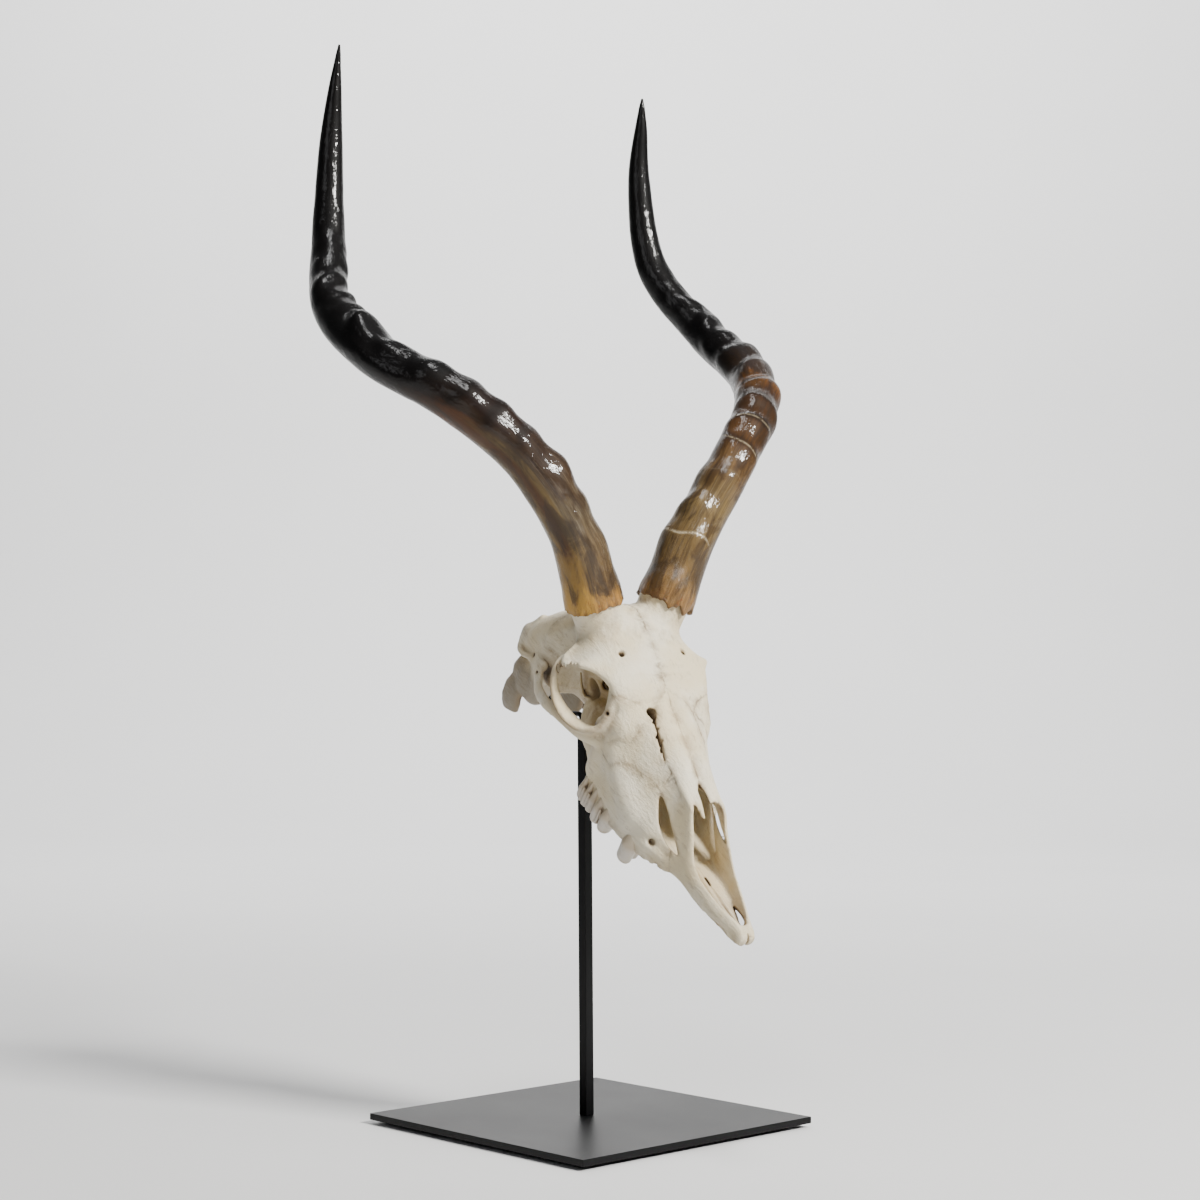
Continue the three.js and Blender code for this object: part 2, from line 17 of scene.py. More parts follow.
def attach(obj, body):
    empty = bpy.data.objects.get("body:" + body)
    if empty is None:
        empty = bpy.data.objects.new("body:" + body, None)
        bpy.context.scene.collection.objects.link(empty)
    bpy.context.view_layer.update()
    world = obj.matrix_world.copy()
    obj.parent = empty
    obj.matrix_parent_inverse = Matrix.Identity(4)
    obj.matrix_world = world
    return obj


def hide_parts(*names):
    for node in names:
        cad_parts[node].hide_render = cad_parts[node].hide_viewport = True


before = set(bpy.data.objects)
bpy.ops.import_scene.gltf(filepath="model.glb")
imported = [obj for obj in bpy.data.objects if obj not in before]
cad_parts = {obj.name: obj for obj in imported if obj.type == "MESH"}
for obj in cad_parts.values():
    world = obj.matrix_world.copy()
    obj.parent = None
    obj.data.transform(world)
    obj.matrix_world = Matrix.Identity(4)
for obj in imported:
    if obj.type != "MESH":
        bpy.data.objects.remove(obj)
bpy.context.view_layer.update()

MM = 0.001
SIDES = ((-1, "right"), (1, "left"))

# ---------------------------------------------------------------- places, as in the CAD part

SKULL_PLACE = (11.6, 60.5, 276.3)
SKULL_HEADING = -97.6
SKULL_NOSE_DOWN = 36.6
SKULL_ROLL = 2.0

PLATE_SIDE = 190.0
PLATE_THICK = 4.0
PAD_INSET = 10.0
PAD_THICK = 2.5
PLATE_TOP = PAD_THICK + PLATE_THICK
BAR_WIDTH = 6.35
POST_FOOT = (-1.5, 1.4)
POST_LEAN = (-1.6, 1.5)
POST_TOP = 236.0
ROD_RADIUS = 1.6
ROD_OFFSET = (-1.2, 1.1)
ROD_BEND_Z = 250.0
ROD_BACK = 34.0
ROD_END_Z = 292.0
ROD_BEND = 3.5
ROD_SIDES = 20


def skull_to_frame():
    """The matrix from skull millimetres to frame metres."""
    turn = (
        Matrix.Rotation(math.radians(SKULL_HEADING), 4, "Z")
        @ Matrix.Rotation(math.radians(SKULL_NOSE_DOWN), 4, "Y")
        @ Matrix.Rotation(math.radians(SKULL_ROLL), 4, "X")
    )
    return Matrix.Scale(MM, 4) @ Matrix.Translation(SKULL_PLACE) @ turn


TO_FRAME = skull_to_frame()

# ---------------------------------------------------------------- camera and light

CAMERA_PLACE = (-1.0081, -1.0668, 0.2782)
CAMERA_WAY = (0.6893, 0.7245)      # level heading
CAMERA_RISE = 1.62                 # degrees
CAMERA_TILT = 0.195
CAMERA_LENS = 72.0                 # on a 36 mm sensor


def make_camera():
    heading = Vector((*CAMERA_WAY, 0)).normalized()
    rise = math.radians(CAMERA_RISE)
    ahead = heading * math.cos(rise) + Vector((0, 0, math.sin(rise)))
    level = ahead.cross(Vector((0, 0, 1))).normalized()
    upright = level.cross(ahead)
    tilt = math.radians(CAMERA_TILT)
    right = level * math.cos(tilt) + upright * math.sin(tilt)
    up = upright * math.cos(tilt) - level * math.sin(tilt)
    data = bpy.data.cameras.new("camera")
    data.lens = CAMERA_LENS
    data.sensor_width = 36.0
    camera = bpy.data.objects.new("camera", data)
    rows = Matrix((right, up, -ahead)).transposed().to_4x4()
    camera.matrix_world = Matrix.Translation(CAMERA_PLACE) @ rows
    bpy.context.scene.collection.objects.link(camera)
    bpy.context.scene.camera = camera


def area_light(name, place, target, size, power, color):
    data = bpy.data.lights.new(name, "AREA")
    data.shape = "RECTANGLE"
    data.size, data.size_y = size
    data.energy = power
    data.color = color
    light = bpy.data.objects.new(name, data)
    light.location = place
    light.visible_camera = False
    light.rotation_euler = (Vector(target) - Vector(place)).to_track_quat("-Z", "Y").to_euler()
    bpy.context.scene.collection.objects.link(light)


SKY_COLOR = (0.93, 0.96, 1.0, 1)
SKY_STRENGTH = 0.05
# Area lights: name, place, target, width and height, watts, colour.
LIGHTS = (
    ("key", (0.35, -1.9, 1.55), (0, 0, 0.38), (0.5, 0.4), 118, (1.0, 0.985, 0.95)),
    ("fill", (-1.9, -0.3, 1.1), (0, 0, 0.35), (0.9, 1.0), 4, (0.97, 0.98, 1.0)),
    ("wall", (1.05, 1.1, 2.1), (2.07, 2.17, 0.5), (3.0, 1.0), 110, (1.0, 1.0, 1.0)),
    ("top", (-0.25, -0.45, 2.1), (0, 0, 0.3), (0.4, 1.0), 17, (1.0, 1.0, 1.0)),
)


def make_light():
    world = bpy.data.worlds.new("studio")
    world.use_nodes = True
    background = world.node_tree.nodes["Background"]
    background.inputs["Color"].default_value = SKY_COLOR
    background.inputs["Strength"].default_value = SKY_STRENGTH
    bpy.context.scene.world = world
    for light in LIGHTS:
        area_light(*light)


# ---------------------------------------------------------------- numbers and noise

def noise(points, size, seed):
    """Smooth noise from -1 to 1 at each point, with features of about the given size."""
    scaled = np.asarray(points, np.float64) / size
    cell = np.floor(scaled).astype(np.int64)
    part = scaled - cell
    part = part * part * (3 - 2 * part)
    total = np.zeros(len(scaled))
    for corner in itertools.product((0, 1), repeat=3):
        spot = cell + np.array(corner)
        mixed = spot[:, 0] * 73856093 ^ spot[:, 1] * 19349663 ^ spot[:, 2] * 83492791
        mixed = (mixed ^ (seed * 2654435761)) & 0xFFFFFFFF
        mixed = (mixed ^ (mixed >> 15)) * 2246822519 & 0xFFFFFFFF
        mixed = (mixed ^ (mixed >> 13)) * 3266489917 & 0xFFFFFFFF
        value = ((mixed ^ (mixed >> 16)) & 0xFFFF) / 32767.5 - 1
        weight = np.prod(np.where(np.array(corner) == 1, part, 1 - part), axis=1)
        total += weight * value
    return total


def layered(points, size, seed, layers=3):
    total, strength, norm = 0.0, 1.0, 0.0
    for layer in range(layers):
        total = total + strength * noise(points, size / 2 ** layer, seed + 17 * layer)
        norm += strength
        strength *= 0.55
    return total / norm


def smoothstep(low, high, value):
    share = np.clip((value - low) / (high - low), 0, 1)
    return share * share * (3 - 2 * share)


def bell(value, width):
    """1 where the value is 0, falling off smoothly on both sides."""
    return np.exp(-(value / width) ** 2)


def patch(places, centre, radii, power=2):
    """1 at the centre, falling off smoothly past the radii."""
    rows = zip(places, centre, radii)
    return np.exp(-sum(((place - middle) / radius) ** power for place, middle, radius in rows))


def averaged(line, count):
    """Each value replaced by the mean of so many values around it."""
    return np.convolve(np.pad(line, count // 2, "edge"), np.ones(count) / count, "valid")


def turned_from(angle, place):
    """The angle measured from a place on the circle, from -pi to pi."""
    return np.angle(np.exp(1j * (angle - place)))


def unit_rows(vectors):
    return vectors / np.linalg.norm(vectors, axis=1)[:, None]


def curve_points(stops, per_span):
    """Points on a centripetal Catmull-Rom curve through the stops, as three.js draws it."""
    stops = np.asarray(stops, float)
    padded = np.vstack([2 * stops[0] - stops[1], stops, 2 * stops[-1] - stops[-2]])
    points = []
    for k in range(len(stops) - 1):
        a, b, c, d = padded[k:k + 4]
        gaps = [max(np.linalg.norm(q - p), 1e-6) ** 0.5 for p, q in ((a, b), (b, c), (c, d))]
        start = ((b - a) / gaps[0] - (c - a) / (gaps[0] + gaps[1]) + (c - b) / gaps[1]) * gaps[1]
        end = ((c - b) / gaps[1] - (d - b) / (gaps[1] + gaps[2]) + (d - c) / gaps[2]) * gaps[1]
        last = k == len(stops) - 2
        for t in np.linspace(0, 1, per_span + 1)[:None if last else -1]:
            points.append(
                (2 * b - 2 * c + start + end) * t ** 3
                + (3 * c - 3 * b - 2 * start - end) * t ** 2 + start * t + b
            )
    return np.array(points)


# ---------------------------------------------------------------- clay: a field on a grid

FAR = 12.0                         # what the field holds away from any shape


class Clay:
    """Signed distance to a surface on a grid, in skull millimetres, negative inside."""

    def __init__(self, low, high, step):
        self.low = np.array(low, float)
        self.step = step
        counts = [int(round((b - a) / step)) + 1 for a, b in zip(low, high)]
        self.axes = [a + step * np.arange(n) for a, n in zip(low, counts)]
        self.value = np.full(counts, FAR, np.float32)

    def window(self, low, high, margin):
        slices = []
        for axis, a, b in zip(self.axes, low, high):
            first, last = np.searchsorted(axis, (a - margin, b + margin))
            slices.append(slice(max(first, 0), min(last + 1, len(axis))))
        grid = [axis[part].astype(np.float32) for axis, part in zip(self.axes, slices)]
        x, y, z = np.meshgrid(*grid, indexing="ij", sparse=True)
        return tuple(slices), x, y, z

    def join(self, shape, blend, sign):
        part, x, y, z = self.window(shape.low, shape.high, blend + 3)
        if min(x.size, y.size, z.size):
            here = sign * self.value[part]
            self.value[part] = sign * soft_min(here, shape.field(x, y, z), blend)

    def add(self, shape, blend):
        self.join(shape, blend, 1)

    def carve(self, shape, blend):
        self.join(shape, blend, -1)

    def soften(self):
        for axis in range(3):
            value = np.moveaxis(self.value, axis, 0)
            value[1:-1] = 0.25 * value[:-2] + 0.5 * value[1:-1] + 0.25 * value[2:]

    def mirrored(self):
        """The whole grid, from one that holds y = 0 and up."""
        whole = Clay.__new__(Clay)
        whole.step = self.step
        whole.axes = [self.axes[0], np.concatenate([-self.axes[1][:0:-1], self.axes[1]]), self.axes[2]]
        whole.low = np.array([axis[0] for axis in whole.axes])
        whole.value = np.concatenate([self.value[:, :0:-1], self.value], axis=1)
        return whole

    def sample(self, points):
        place = (points - self.low) / self.step
        place = np.clip(place, 0, np.array(self.value.shape) - 1.001)
        cell = place.astype(int)
        part = place - cell
        total = np.zeros(len(points))
        for corner in itertools.product((0, 1), repeat=3):
            weight = np.prod(np.where(np.array(corner) == 1, part, 1 - part), axis=1)
            total += weight * self.value[tuple((cell + corner).T)]
        return total

    def skin(self):
        """Points and four-sided faces of the surface where the field is 0."""
        value = self.value
        inside = value < 0
        corners = list(itertools.product((0, 1), repeat=3))
        count = np.zeros(np.array(value.shape) - 1, np.uint8)
        for i, j, k in corners:
            count += inside[i:i + count.shape[0], j:j + count.shape[1], k:k + count.shape[2]]
        active = (count > 0) & (count < 8)
        cells = np.argwhere(active)
        number = np.full(count.shape, -1, np.int64)
        number[active] = np.arange(len(cells))
        held = {c: value[tuple((cells + np.array(c)).T)] for c in corners}
        place = np.zeros((len(cells), 3))
        crossings = np.zeros(len(cells))
        for a, b in itertools.combinations(corners, 2):
            if sum(abs(p - q) for p, q in zip(a, b)) != 1:
                continue
            crossed = (held[a] < 0) != (held[b] < 0)
            share = held[a][crossed] / (held[a][crossed] - held[b][crossed])
            place[crossed] += np.array(a) + share[:, None] * (np.array(b) - np.array(a))
            crossings[crossed] += 1
        points = self.low + self.step * (cells + place / crossings[:, None])
        faces = []
        for axis in range(3):
            u, v = [other for other in range(3) if other != axis]
            near = np.moveaxis(inside, axis, 0)
            crossed = np.moveaxis(near[:-1] != near[1:], 0, axis)
            spots = np.argwhere(crossed)
            spots = spots[(spots[:, u] > 0) & (spots[:, v] > 0)]
            keep = (spots[:, u] < count.shape[u]) & (spots[:, v] < count.shape[v])
            spots = spots[keep]
            step_u, step_v = np.eye(3, dtype=int)[u], np.eye(3, dtype=int)[v]
            ring = [spots - step_u - step_v, spots - step_v, spots, spots - step_u]
            quads = np.stack([number[tuple(c.T)] for c in ring], axis=1)
            outward = inside[tuple(spots.T)]
            if axis == 1:
                outward = ~outward
            quads[~outward] = quads[~outward][:, ::-1]
            faces.append(quads)
        return points, np.concatenate(faces)


def soft_min(a, b, blend):
    share = np.clip(0.5 + 0.5 * (b - a) / blend, 0, 1)
    return b + (a - b) * share - blend * share * (1 - share)


class Shape:
    def __init__(self, field, low, high):
        self.field, self.low, self.high = field, np.array(low, float), np.array(high, float)


def egg(centre, radii, nod=0.0, toe=0.0):
    """An ellipsoid, nodded about y and then turned about z, in degrees."""
    turn = (Matrix.Rotation(math.radians(toe), 3, "Z") @ Matrix.Rotation(math.radians(nod), 3, "Y"))
    turn = np.array(turn)

    def field(x, y, z):
        offset = (x - centre[0], y - centre[1], z - centre[2])
        near = far = 0.0
        for k in range(3):
            along = sum(np.float32(turn[j, k]) * offset[j] for j in range(3))
            near = near + (along / radii[k]) ** 2
            far = far + (along / radii[k] ** 2) ** 2
        near = np.sqrt(near)
        return near * (near - 1) / np.maximum(np.sqrt(far), 1e-4)

    reach = max(radii)
    return Shape(field, np.array(centre) - reach, np.array(centre) + reach)


def limb(stops, flat=(0, 0, 1), per_span=6, side=1, boxy=2):
    """A limb along a smooth path. A stop is x, y, z, half width and half thickness, and the
    thickness is measured towards flat. boxy is 2 for a rounded limb, and more for a squarer one."""
    stops = np.array([[*s[:4], s[4] if len(s) > 4 else s[3]] for s in stops], float)
    stops[:, 1] *= side
    flat = np.array(flat, float) * (1, side, 1)
    path = curve_points(stops[:, :3], per_span)
    place = np.linspace(0, len(stops) - 1, len(path))
    wide = np.interp(place, range(len(stops)), stops[:, 3])
    thick = np.interp(place, range(len(stops)), stops[:, 4])

    def field(x, y, z):
        best = None
        for k in range(len(path) - 1):
            a, along = path[k], path[k + 1] - path[k]
            length = np.linalg.norm(along)
            along = along / length
            across = np.cross(flat, along)
            across /= np.linalg.norm(across)
            up = np.cross(along, across)
            offset = (x - a[0], y - a[1], z - a[2])
            run = sum(np.float32(along[j]) * offset[j] for j in range(3))
            share = np.clip(run / length, 0, 1)
            w = wide[k] + (wide[k + 1] - wide[k]) * share
            t = thick[k] + (thick[k + 1] - thick[k]) * share
            past = run - share * length
            ride = sum(np.float32(across[j]) * offset[j] for j in range(3))
            rise = sum(np.float32(up[j]) * offset[j] for j in range(3))
            least = np.minimum(w, t)
            if boxy == 2:
                one = (np.sqrt((ride / w) ** 2 + (rise / t) ** 2 + (past / least) ** 2) - 1) * least
            else:
                parts = np.abs(ride / w) ** boxy + np.abs(rise / t) ** boxy + np.abs(past / least) ** boxy
                one = (parts ** (1 / boxy) - 1) * least
            best = one if best is None else np.minimum(best, one)
        return best

    reach = np.maximum(wide, thick)[:, None]
    return Shape(field, (path - reach).min(0), (path + reach).max(0))


def loft(stations, smooth=4):
    """A solid that is the same on both sides, from sections square to x. A station is x and
    the left half of its outline, as y and z from the ridge to the floor."""
    places = np.array([x for x, _ in stations], float)
    outlines = np.array([outline for _, outline in stations], float)
    slope = np.gradient(outlines, places, axis=0)

    def outline_at(x):
        k = int(np.clip(np.searchsorted(places, x) - 1, 0, len(places) - 2))
        width = places[k + 1] - places[k]
        t = (x - places[k]) / width
        a, b = outlines[k], outlines[k + 1]
        start, end = slope[k] * width, slope[k + 1] * width
        points = (
            (2 * a - 2 * b + start + end) * t ** 3
            + (3 * b - 3 * a - 2 * start - end) * t ** 2 + start * t + a
        )
        flip = points[[1, -2]] * (-1, 1)
        padded = np.vstack([flip[0], points, flip[1]])
        steps = np.linspace(0, 1, smooth + 1)[:-1, None]
        fine = []
        for j in range(1, len(padded) - 2):
            p, q, r, s = padded[j - 1:j + 3]
            fine.append(0.5 * (2 * q + (r - p) * steps + (2 * p - 5 * q + 4 * r - s) * steps ** 2
                               + (3 * q - p - 3 * r + s) * steps ** 3))
        return np.vstack([*fine, padded[-2][None]])

    def field(x, y, z):
        values = np.full(np.broadcast(x, y, z).shape, FAR, np.float32)
        wide, high = np.abs(y[0][:, :, None]), z[0][:, :, None]
        for i, here in enumerate(x[:, 0, 0]):
            if not places[0] <= here <= places[-1]:
                continue
            line = outline_at(here).astype(np.float32)
            (ya, za), (yb, zb) = line[:-1].T, line[1:].T
            dy, dz = yb - ya, zb - za
            share = ((wide - ya) * dy + (high - za) * dz) / np.maximum(dy * dy + dz * dz, 1e-6)
            share = np.clip(share, 0, 1)
            gap = (wide - ya - share * dy) ** 2 + (high - za - share * dz) ** 2
            steep = np.where(np.abs(dz) < 1e-6, 1e-6, dz)
            crossed = ((za > high) != (zb > high)) & (ya + (high - za) * dy / steep > wide)
            odd = crossed.sum(axis=2) % 2 == 1
            distance = np.sqrt(gap.min(axis=2))
            values[i] = np.where(odd, -distance, distance)
        return values

    low = (places[0], -outlines[..., 0].max(), outlines[..., 1].min())
    high = (places[-1], outlines[..., 0].max(), outlines[..., 1].max())
    return Shape(field, low, high)


def oval(half, low, high, boxy=2.3, count=9):
    """The left half of an oval outline. boxy is 2 for an ellipse."""
    angles = np.linspace(0, math.pi, count)
    across = np.abs(np.sin(angles)) ** (2 / boxy) * half
    up = np.sign(np.cos(angles)) * np.abs(np.cos(angles)) ** (2 / boxy)
    across[[0, -1]] = 0
    return np.stack([across, (low + high) / 2 + (high - low) / 2 * up], axis=1)


# ---------------------------------------------------------------- skull: measures

STEP = 0.8                         # the clay's grid

# Braincase: x, half width, lowest z, highest z.
BRAINCASE = (
    (1, 9, 26, 36), (3, 15, 21, 39), (8, 27, 20, 48), (18, 34, 19, 60.5), (32, 35.5, 21, 74),
    (48, 32.5, 24, 83), (62, 25, 27, 88), (78, 18, 30, 85), (94, 12, 34, 74),
)
# Frontal shield over the eyes: x, z on the middle line, half width, z of its edge.
FRONTAL = (
    (50, 88, 27, 72), (62, 93, 32, 72), (71, 92.5, 46, 66), (79, 90, 51, 66), (88, 86, 47.5, 71),
    (98, 81, 39.5, 72), (108, 75, 35, 70), (120, 68.5, 31, 61),
)
FRONTAL_DEPTH = 9
# Face: x, then the left half of its outline from the ridge to the palate.
FACE = (
    (106, ((0, 76), (16, 75), (30, 70), (34, 59), (35, 46), (29, 22), (20, -1), (0, 6))),
    (114, ((0, 71.5), (16, 71), (30, 67), (35, 55), (36, 42), (31, 16), (22, -2), (0, 5))),
    (126, ((0, 66), (14, 65.5), (26, 60), (33, 46), (34, 32), (31, 10), (22, -3), (0, 4))),
    (140, ((0, 60.5), (13, 60), (21, 54), (29, 40), (32.5, 26), (31, 6), (22, -3), (0, 4))),
    (154, ((0, 54.5), (12, 54), (17, 48), (24, 36), (31, 21), (30, 3), (21, -3), (0, 4))),
    (168, ((0, 48.5), (11, 48), (14.5, 42), (19, 31), (28, 16), (27, 2), (18, -2), (0, 4))),
    (178, ((0, 44.5), (10.5, 44), (13, 38), (16.5, 28), (25, 14), (24.5, 0), (17, -1), (0, 3.5))),
    (187, ((0, 40.5), (11, 40.5), (13.5, 36), (15.5, 27), (20.5, 13), (20, 1), (14, 0), (0, 3))),
    (195, ((0, 31), (11.5, 31), (14, 28), (15.5, 22), (18, 12), (17.5, 2.5), (12, 1.5), (0, 3))),
    (204, ((0, 22), (12, 22), (14.5, 20), (16.5, 15), (17.2, 9), (16, 3), (10, 1.5), (0, 2.5))),
    (213, ((0, 16.5), (11, 16.5), (13.5, 15), (15.6, 11), (16, 7), (14.5, 1.5), (9, 0), (0, 1.5))),
    (224, ((0, 13), (9, 13), (11.5, 12), (13.6, 8.5), (14, 4.5), (12.6, 0), (8, -1.5), (0, 0))),
    (238, ((0, 10.5), (6, 10.5), (8.5, 9), (10.2, 6), (10.6, 3), (9.2, -1.5), (5, -2.5), (0, -1.5))),
    (249, ((0, 8), (4.4, 8), (6.2, 6.5), (7, 4), (7.1, 1.5), (6.2, -2), (3, -3), (0, -2.5))),
    (255, ((0, 5.8), (3.6, 5.8), (5, 4.8), (5.7, 3), (5.8, 1), (5, -1.2), (2.6, -2.2), (0, -2))),
    (257.5, ((0, 4), (2.6, 4), (3.8, 3.2), (4.4, 2.2), (4.4, 0.8), (3.8, -0.4), (2, -1), (0, -1))),
)
EYE_WALL = ((60, 14, 30, 84), (70, 13.5, 28, 84), (84, 12.5, 24, 82), (98, 14, 18, 74), (112, 18, 8, 66))
EYE_RIDGE = ((67.5, 25.5, 50, 0.9), (67, 22.3, 43, 1.1), (67.3, 19.6, 37.5, 1.1), (69, 17, 33, 1.2),
             (73.5, 18, 35.5, 0.9))
EYE_BACK = ((52.5, 28, 35, 3, 9), (55, 20, 35, 3, 9), (59, 13, 34, 3, 8), (64, 13, 32, 3, 6))
EYE_LEDGE = ((54, 27, 26, 1.3, 1.6), (56, 14, 26.5, 1.3, 1.6), (60, 12, 26, 1.2, 2))
EYE_FLOOR = ((98.5, 15, 24), (29, 12, 16), 16)
# Nasal passage and its opening: x, half width at the top, the middle and the floor, then the
# floor's z and the top's z.
NASAL_PASSAGE = (
    (118, 9, 10, 12, 12, 52), (140, 10, 21, 20, 9, 50), (156, 10.5, 23, 22, 8, 46.5),
    (168, 10, 18.4, 19.4, 7, 43), (178, 9.5, 15.6, 16.2, 6, 38), (188, 9, 13.2, 14, 5.5, 31),
    (195, 8.5, 11.8, 12.6, 5.5, 25), (206, 7, 10, 10.5, 5.2, 17),
)
NARIAL_OPENING = (
    (170, 0.6, 0.6, 0.6, 40, 60), (178, 8, 7.5, 7, 30, 60), (187, 10.2, 10.4, 11, 7, 56),
    (196, 11, 11, 11.6, 6, 48), (205, 12.4, 12.6, 11.8, 5, 40), (214, 11.4, 12, 10.8, 4.2, 34),
    (226, 9.4, 10, 8.6, 3, 30), (238, 6.4, 6.8, 5.8, 2, 26), (248, 2.0, 2.4, 2, 2.5, 20),
)
ORBIT_RIM = (
    (68, 37, 64, 2.5, 2.5), (71, 45.6, 61.6, 2.2, 2.6), (74.8, 50.4, 56.8, 1.9, 2.3),
    (83.6, 51.6, 47, 1.8, 3.3), (96.5, 48, 40.6, 1.9, 5.4), (108.5, 42.6, 40.2, 2.2, 6),
    (117, 36, 47, 2.8, 5), (113, 31, 60, 4, 5), (103, 27, 69, 4, 4),
)
CHEEK_ARCH = (
    (30, 31, 38, 5, 3.5), (42, 36, 35.5, 3.4, 2.4), (49, 38.5, 31, 3.4, 2), (54, 40.5, 28.6, 3.9, 1.9),
    (63, 43, 29, 4.2, 1.9), (73, 46, 31.5, 4, 2.1), (88, 48, 36.5, 4.2, 2.6), (108, 42, 37, 5, 3),
    (124, 27, 37, 4, 4),
)
CHEEK = ((122, 27, 50, 8), (117, 27, 32, 7), (112, 24.5, 12, 6))
EAR_CAPSULE = ((32, 25, 34, 6), (33, 22, 19, 9), (30, 21, 6.5, 8))
EAR_CREST = (
    (16, 25, 52, 3, 3), (11.5, 29.5, 40, 2, 2.2), (13.5, 32.5, 29.5, 1.6, 2),
    (20, 34, 29.5, 1.6, 2), (28, 34.5, 32.5, 1.7, 2), (37, 35.5, 33.5, 1.8, 2),
    (44, 36.5, 30, 1.9, 2), (50, 38.5, 26, 1.9, 1.8), (61, 42, 26, 1.8, 1.8),
)
EAR_WALL = ((17, 20, 30, 7, 6), (33, 24, 27, 7, 6), (48, 28, 30, 5, 4))
EAR_LOBE = ((14.5, 23.5, 15.5), (6.5, 7.5, 11.5), 14)
EAR_RECESS = ((25.5, 34, 21), (5, 4, 8))
EAR_FILL = (((22, 25, 14), (8, 6.5, 12)), ((23, 24.5, 7), (8.5, 5, 6.5)), ((13, 28, 37), (7, 5, 9)))
EAR_BUMP = ((43.5, 34.5, 37.5), (3.2, 3, 3.2))
NECK_PROCESS = (
    (17, 23, 14, 6.5, 4), (16.5, 25, 6, 8, 3.6), (15.8, 27, -2, 8.8, 3), (17, 27, -9, 9.4, 2.8),
    (18.6, 26.5, -13.5, 8, 2.2),
)
LEFT_NECK_PROCESS = (
    (16, 22, 8, 6, 3), (15, 21.5, -3, 10.5, 3), (15.4, 20.5, -12, 12, 2.8), (17, 20, -17, 10.5, 2.2),
)
THROAT_WING = ((76, 11, 25, 6, 2), (88, 13, 10, 7, 2), (104, 15, 4, 9, 2.5))
CONDYLE = ((4, 11, 27), (9, 7, 11), 25)
BRAIN_FLOOR = ((4, 0, 23, 12, 5), (30, 0, 24, 13, 6), (70, 0, 24, 9, 6))
NAPE_RIDGE = ((12, 0, 47, 6.5, 3), (8.5, 16, 40.5, 5, 2.6), (10.5, 26, 37.5, 4, 2.4))
BRAIN_WAY = ((-8, 0, 34, 8), (14, 0, 35, 8), (30, 0, 49, 11.5), (54, 0, 58, 13))
THROAT_WAY = ((66, 0, 8, 8), (92, 0, 14, 10), (116, 0, 22, 10), (124, 0, 24, 8))
EYE_HOLLOWS = (
    ((91, 35, 55.6), (18.6, 22, 15.4), 0, -18), ((97, 50, 54.8), (17.5, 16, 14.2), 0, -18),
    ((73, 36, 34), (22, 18, 26), -20, 20),
)
PEDICLE = ((67, 17, 70, 14.5), (62, 20, 81, 14.6), (56, 25, 92, 15.6), (50.6, 29.8, 102.8, 14))
NOSE_BONE = ((112, 5.5, 70, 5.5, 3.5), (128, 7, 62.5, 7, 4.5), (148, 6.6, 54.5, 6.4, 4.5),
             (164, 5.8, 48.2, 5.6, 3.6), (172, 5.6, 45, 4.6, 2.4))
INNER_PRONG = ((166, 5.5, 47.5, 4, 1.8), (182, 5.5, 41.5, 2.9, 1.4), (192, 5.5, 38, 1, 0.8))
OUTER_PRONG = ((164, 10, 47, 3, 1.6), (178, 10.5, 42, 2, 1.4), (186, 11, 39.5, 0.8, 0.8))
CHEEK_SLIT = ((125, 14.8, 62.5, 2.9, 9), (127.6, 14.6, 61, 1.7, 9), (130.5, 14.6, 59.5, 0.6, 9),
              (135, 15, 57, 0.55, 8), (140, 15.2, 54.5, 1.0, 8), (146, 15.2, 51.5, 0.8, 8),
              (152, 15.2, 48, 0.4, 8))
SLIT_TEETH = ((129.5, 13.4), (132.5, 15.9), (136.5, 14.2), (140.5, 16.2), (143.5, 14.3), (148, 15.8))
CHEEK_HOLE = ((184, 29.5, 14.5, 3.0), (179, 24, 11.6, 2.0), (177, 22.8, 11, 1.2))
CHEEK_HOLE_RIDGE = ((166, 27.5, 6, 1.8), (176, 25.6, 7.2, 2.3), (184, 22.4, 7.6, 2.2), (191, 18.6, 6.6, 1.4))
CHEEK_BULGE = ((128, 28, 34, 6), (146, 27.5, 22, 6), (158, 25.5, 14, 5.5))
JAW_EDGE = (
    (110, 23, 1.5, 4, 3.2), (130, 24.6, -1.2, 5, 2.6), (155, 24, -1.6, 4.8, 2.6),
    (176, 20.5, -0.5, 3.6, 2.2), (190, 14.5, 1.5, 3, 2),
)
# The notched edge of the right brow, from end to end.
BROW_TEETH = ((75, -50, 60.0), (88, -47.5, 69.6))
BROW_TEETH_COUNT = 7
BROW_UP = (-0.6, 0, 0.8)
BROW_HOLE = ((91, 22.5, 90, 2.0), (91.5, 22, 76, 1.6))
BROW_GROOVE = ((93, 22.4, 84.4, 1.5), (99, 21.4, 82.2, 1.2), (107, 20, 78, 0.7))
EAR_HOLES = (((32, 40, 37, 1.3), (32, 28, 37, 1.2)), ((46, 41, 34, 1.1), (43, 34, 33, 1.0)))
EYE_HOLE = ((83.5, 18, 53, 3.6), (75, 5, 45.5, 2.4))
EYE_PIT = ((74.3, 17, 42.6), (4.4, 10.5, 6.8), -40)
LACRIMAL_HOLE = ((118, 40, 57, 1.1), (108, 24, 55, 1.1))
